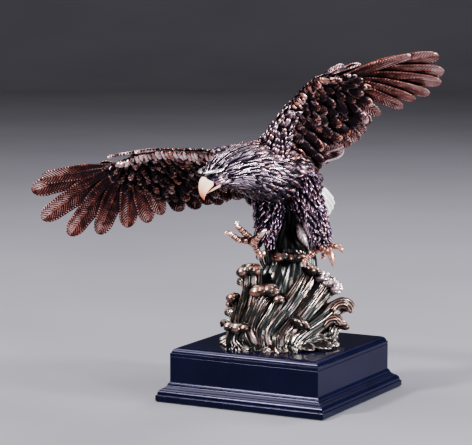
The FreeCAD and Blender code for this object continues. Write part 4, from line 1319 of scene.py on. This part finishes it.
def roots(sculpt, count, rng):
    """Short strands of water that fan out over the plinth all round the foot."""
    for k in range(count):
        angle = 2 * math.pi * (k + rng.uniform(-0.3, 0.3)) / count
        reach = rng.uniform(0.94, 1.08)
        path = []
        for out, up, lag in ROOT_PATH:
            ahead, aside = out * reach * math.cos(angle + lag), out * reach * math.sin(angle + lag)
            path.append(wave_point(-3 + ahead * 1.04, 1 + aside * 0.98, up))
        wide = rng.uniform(1.7, 3.0)
        side = np.array([-math.sin(angle + WAVE_TURN), math.cos(angle + WAVE_TURN), 0])
        tube(
            sculpt, path, [0.6, wide * 0.9, wide, wide * 0.95, 0.8], [0.6, 1.7, 1.7, 1.3, 0.7], side, 12,
            lambda s, a: 0.1 + 0.75 * ramp(s, 0.35, 0.95) * rng.uniform(0.7, 1.2) + 0 * a,
            rng.uniform(0, 0.6), 26,
        )


def make_wave():
    rng = np.random.default_rng(11)
    groups = (FRONT_TONGUES[:5], FRONT_TONGUES[5:9], FRONT_TONGUES[9:], BACK_TONGUES[:5], BACK_TONGUES[5:])
    for number, group in enumerate(groups):
        sculpt = Sculpt()
        for shape in group:
            tongue(sculpt, shape, rng)
        if number == 1:
            for path, wide, thick in ROLLED_LIPS:
                rolled_lip(sculpt, path, wide, thick)
            for root, tip, half in LEAVES:
                leaf(sculpt, root, tip, half, rng)
        sculpt.piece(f"wave_tongues_{number + 1}", WAVE, "wave_bronze", "wave_base")
    froth = Sculpt()
    foam(froth, [wave_point(*p) for p in FOAM_MOUNDS], 64, rng)
    froth.piece("wave_foam", FOAM, "wave_bronze", "wave_base")
    column = Sculpt()
    fluted_column(column)
    skirt(column)
    roots(column, 84, rng)
    column.piece("wave_middle", WAVE, "wave_bronze", "wave_base")


def fluted_column(sculpt):
    """The thick stem of water up the middle, into the bird's belly, painted dark as the shade between the
    legs.
    """

    def fluted(s, a):
        flow = np.abs(np.sin(5 * a + 7 * s)) + 0.5 * np.abs(np.sin(11 * a - 9 * s + 1))
        lump = np.sin(3 * a + 14 * s) * np.sin(2 * a - 11 * s + 2)
        return 0.95 + 0.07 * flow + 0.07 * lump

    # painted shade: the stem is rubbed less than the other water, and its ridges lose their rub in the upper
    # half between the legs
    def rub(s, a):
        return 0.4 * ramp(np.abs(np.sin(5 * a + 7 * s)), 0.85, 1.0) * (1 - ramp(s, 0.4, 0.6)) - 0.15

    tube(
        sculpt, [wave_point(*p) for p in COLUMN], [44, 36, 28, 24, 19, 12, 14], [42, 34, 25, 18, 13, 10, 11],
        wave_point(1, 0), 200, rub, 0.2, 110, fluted,
    )


def skirt(sculpt):
    """The thin uneven pool that the wave rises from."""

    def lobes(s, a):
        return 1 + (0.045 * np.sin(5 * a + 1) + 0.03 * np.sin(11 * a) + 0.02 * np.sin(23 * a)) * (1 - 0.6 * s)

    tube(
        sculpt, [wave_point(*p) for p in SKIRT], [48, 47.5, 42], [46, 45.5, 41], wave_point(1, 0), 240,
        lambda s, a: 0.1 + 0 * s + 0.3 * np.sin(9 * a), 0.3, 8, lobes,
    )


# ------------------------------------------------------------ plinth


def prism(name, outline, place, material, node):
    """A moulding or board: one outline (out, up), mitred at both ends."""
    count = len(outline)
    corners = [place(end * out, out, up) for end in (-1, 1) for out, up in outline]
    faces = [tuple(range(count))[::-1], tuple(range(count, 2 * count))]
    faces += [(i, (i + 1) % count, count + (i + 1) % count, count + i) for i in range(count)]
    obj = plain_solid(name, [Vector(c) * MM for c in corners], faces, material)
    soften(obj, 0.25)
    stand_in_for(obj, node)


def soften(obj, width):
    """Rounds the sharp edges a little, as lacquered wood is."""
    bevel = obj.modifiers.new("rounded_edges", "BEVEL")
    bevel.width = width * MM
    bevel.segments = 3
    bevel.limit_method = "ANGLE"
    bevel.angle_limit = math.radians(35)
    even = obj.modifiers.new("even_shading", "WEIGHTED_NORMAL")
    even.keep_sharp = True


def arc(centre, radius, start, end, count):
    """Points on an arc between two angles in degrees."""
    angles = np.radians(np.linspace(start, end, count))
    return [(centre[0] + radius * math.cos(a), centre[1] + radius * math.sin(a)) for a in angles]


def sides():
    """Each side's name and the functions that turn (along, out, up) into its own place."""
    turns = {"front": 0, "right": 90, "back": 180, "left": 270}
    for side, degrees in turns.items():
        c, s = math.cos(math.radians(degrees)), math.sin(math.radians(degrees))

        def place(along, out, up, c=c, s=s):
            x, y = along, -out
            return (x * c - y * s, x * s + y * c, up)

        yield side, place


def moulding_outline(die, base, low, high):
    """The foot moulding (out, up): a square toe, one broad roll, a cove and a small lip under the wall."""
    toe, toe_round, step = 4.6, 0.9, 1.3
    roll = base - die - 4.4
    cove, cove_out, cove_up = 2.8, 4.6, 15.0
    outline = [(die, low), (base, low), (base, low + toe)]
    outline += arc((base - toe_round, low + toe), toe_round, 0, 90, 5)
    outline += [(base - step, low + toe + toe_round)]
    outline += arc((base - step - roll, low + toe + 1.4), roll, 2, 76, 24)
    outline += arc((die + cove_out, low + cove_up), cove, 250, 180, 10)
    return outline + [(die + 0.9, high - 0.9), (die + 0.6, high), (die, high)]


def make_plinth():
    low, high = (np.array(corner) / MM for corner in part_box("plinth_wall_front"))
    die, inside = high[0], high[0] - (high[1] - low[1])
    eased = 0.3
    board = [
        (inside, low[2]), (die, low[2]), (die, high[2] - 0.25), (die - eased, high[2]), (inside, high[2])
    ]
    low, high = (np.array(corner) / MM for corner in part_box("base_moulding_front"))
    moulding = moulding_outline(die, high[0], low[2], high[2])
    for side, place in sides():
        prism(f"wall_{side}", board, place, BLACK, f"plinth_wall_{side}")
        prism(f"moulding_{side}", moulding, place, BLACK, f"base_moulding_{side}")
    make_top_slab()


def make_top_slab():
    """The top board: upright edges, a quirk, and a swelling bevel up to its flat top."""
    low, high = (np.array(corner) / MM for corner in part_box("top_board"))
    edge, top = high[0], high[2]
    eased, quirk = 0.3, 0.9
    bevel_in, bevel_down = 7.2, 5.0
    rims = [(edge - eased, low[2]), (edge, low[2] + eased), (edge, top - bevel_down)]
    rims += [(edge - quirk, top - bevel_down + 0.2)]
    for x, y in arc((0, 0), 1, 12, 90, 12):
        rims.append((edge - bevel_in + (bevel_in - 1.1) * x, top - (bevel_down - 0.5) * (1 - y)))
    corners = [(sx * r, sy * r, z) for r, z in rims for sx, sy in ((-1, -1), (1, -1), (1, 1), (-1, 1))]
    end = 4 * (len(rims) - 1)
    faces = [(3, 2, 1, 0), (end, end + 1, end + 2, end + 3)]
    for ring in range(len(rims) - 1):
        for k in range(4):
            a, b = ring * 4 + k, ring * 4 + (k + 1) % 4
            faces.append((a, b, b + 4, a + 4))
    slab = plain_solid("top_slab", [Vector(c) * MM for c in corners], faces, BLACK)
    soften(slab, 0.12)
    stand_in_for(slab, "top_board")


HIDDEN_FINISHES = {
    "felt_sheet": FELT, "bottom_panel": BOARD, "glue_blocks": BOARD, "panel_screws": STEEL,
    "base_studs": STEEL, "stud_washers": STEEL, "stud_nuts": STEEL, "armature_rod": STEEL,
    "right_wing_pins": STEEL, "left_wing_pins": STEEL, "tail_pin": STEEL, "right_foot_pin": STEEL,
    "left_foot_pin": STEEL,
}


def finish_hidden_nodes():
    for node, material in HIDDEN_FINISHES.items():
        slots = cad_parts[node].data.materials
        slots.clear()
        slots.append(material)


# ------------------------------------------------------------ floor, light and camera

AIM = (-0.0364, -0.0194, 0.1605)
EYE_PLACE = (0.9048, -1.7827, 0.4240)
LENS, SENSOR = 167.4, 36
LIT = (0, 0, 0.18)  # what every light faces
LIGHTS = (  # name, place, size, power, colour
    ("key", (-0.95, -1.55, 1.5), 0.28, 116, (1.0, 0.96, 0.95)),
    ("fill", (3.04, -1.44, 0.58), 0.58, 172, (0.92, 0.89, 1.0)),
    ("top", (-0.72, -0.08, 1.78), 0.95, 44, (1.0, 0.96, 0.99)),
    ("rim", (0.44, 1.45, 1.6), 0.60, 46, (1.0, 0.95, 0.98)),
    ("kick", (1.6, 0.15, 0.5), 0.30, 76, (1.0, 0.97, 0.98)),
)


def make_floor():
    """A pale floor that sweeps up into an even backdrop all round."""
    flat, sweep, top, around = 4.0, 3.0, 9.0, 96
    bend = np.linspace(0, math.pi / 2, 16)
    profile = [(flat, 0.0)] + [(flat + sweep * math.sin(a), sweep * (1 - math.cos(a))) for a in bend[1:]]
    profile.append((flat + sweep, top))
    turns = np.linspace(0, 2 * math.pi, around, endpoint=False)
    verts = [(r * math.cos(a), r * math.sin(a), z) for r, z in profile for a in turns]
    faces = [tuple(range(around))]
    for ring in range(len(profile) - 1):
        for k in range(around):
            here, after = ring * around + k, ring * around + (k + 1) % around
            faces.append((here, here + around, after + around, after))
    material, tree, shader = nodes_of("floor_card")
    shade = mix(tree, remap(tree, noise(tree, 3, 2), 0.3, 0.7), (0.145, 0.145, 0.17), (0.165, 0.165, 0.19))
    tree.links.new(shade, shader.inputs["Base Color"])
    shader.inputs["Roughness"].default_value = 0.9
    floor = plain_solid("floor", verts, faces, material)
    floor.data.polygons[0].use_smooth = False


def make_lights():
    world = bpy.data.worlds.new("studio")
    world.use_nodes = True
    world.node_tree.nodes["Background"].inputs["Color"].default_value = (0.72, 0.74, 0.82, 1)
    world.node_tree.nodes["Background"].inputs["Strength"].default_value = 0.06
    bpy.context.scene.world = world
    for name, place, size, power, colour in LIGHTS:
        light = bpy.data.lights.new(name, "AREA")
        light.size, light.energy, light.color = size, power, colour
        aimed(name, light, place, LIT)


def make_camera():
    camera = bpy.data.cameras.new("camera")
    camera.sensor_width, camera.lens = SENSOR, LENS
    camera.clip_start, camera.clip_end = 0.05, 30
    bpy.context.scene.camera = aimed("camera", camera, EYE_PLACE, AIM)


def aimed(name, data, place, target):
    """A light or camera at a place, turned to face a target."""
    obj = bpy.data.objects.new(name, data)
    obj.location = place
    obj.rotation_euler = (Vector(target) - Vector(place)).to_track_quat("-Z", "Y").to_euler()
    bpy.context.scene.collection.objects.link(obj)
    return obj


make_wing("right", RIGHT_WING)
make_wing("left", LEFT_WING)
make_body()
make_head()
make_beak()
make_foot("right", RIGHT_FOOT, RIGHT_TOES, RIGHT_SHANK)
make_foot("left", LEFT_FOOT, LEFT_TOES, LEFT_SHANK)
make_tail()
make_wave()
make_plinth()
finish_hidden_nodes()
make_floor()
make_lights()
make_camera()
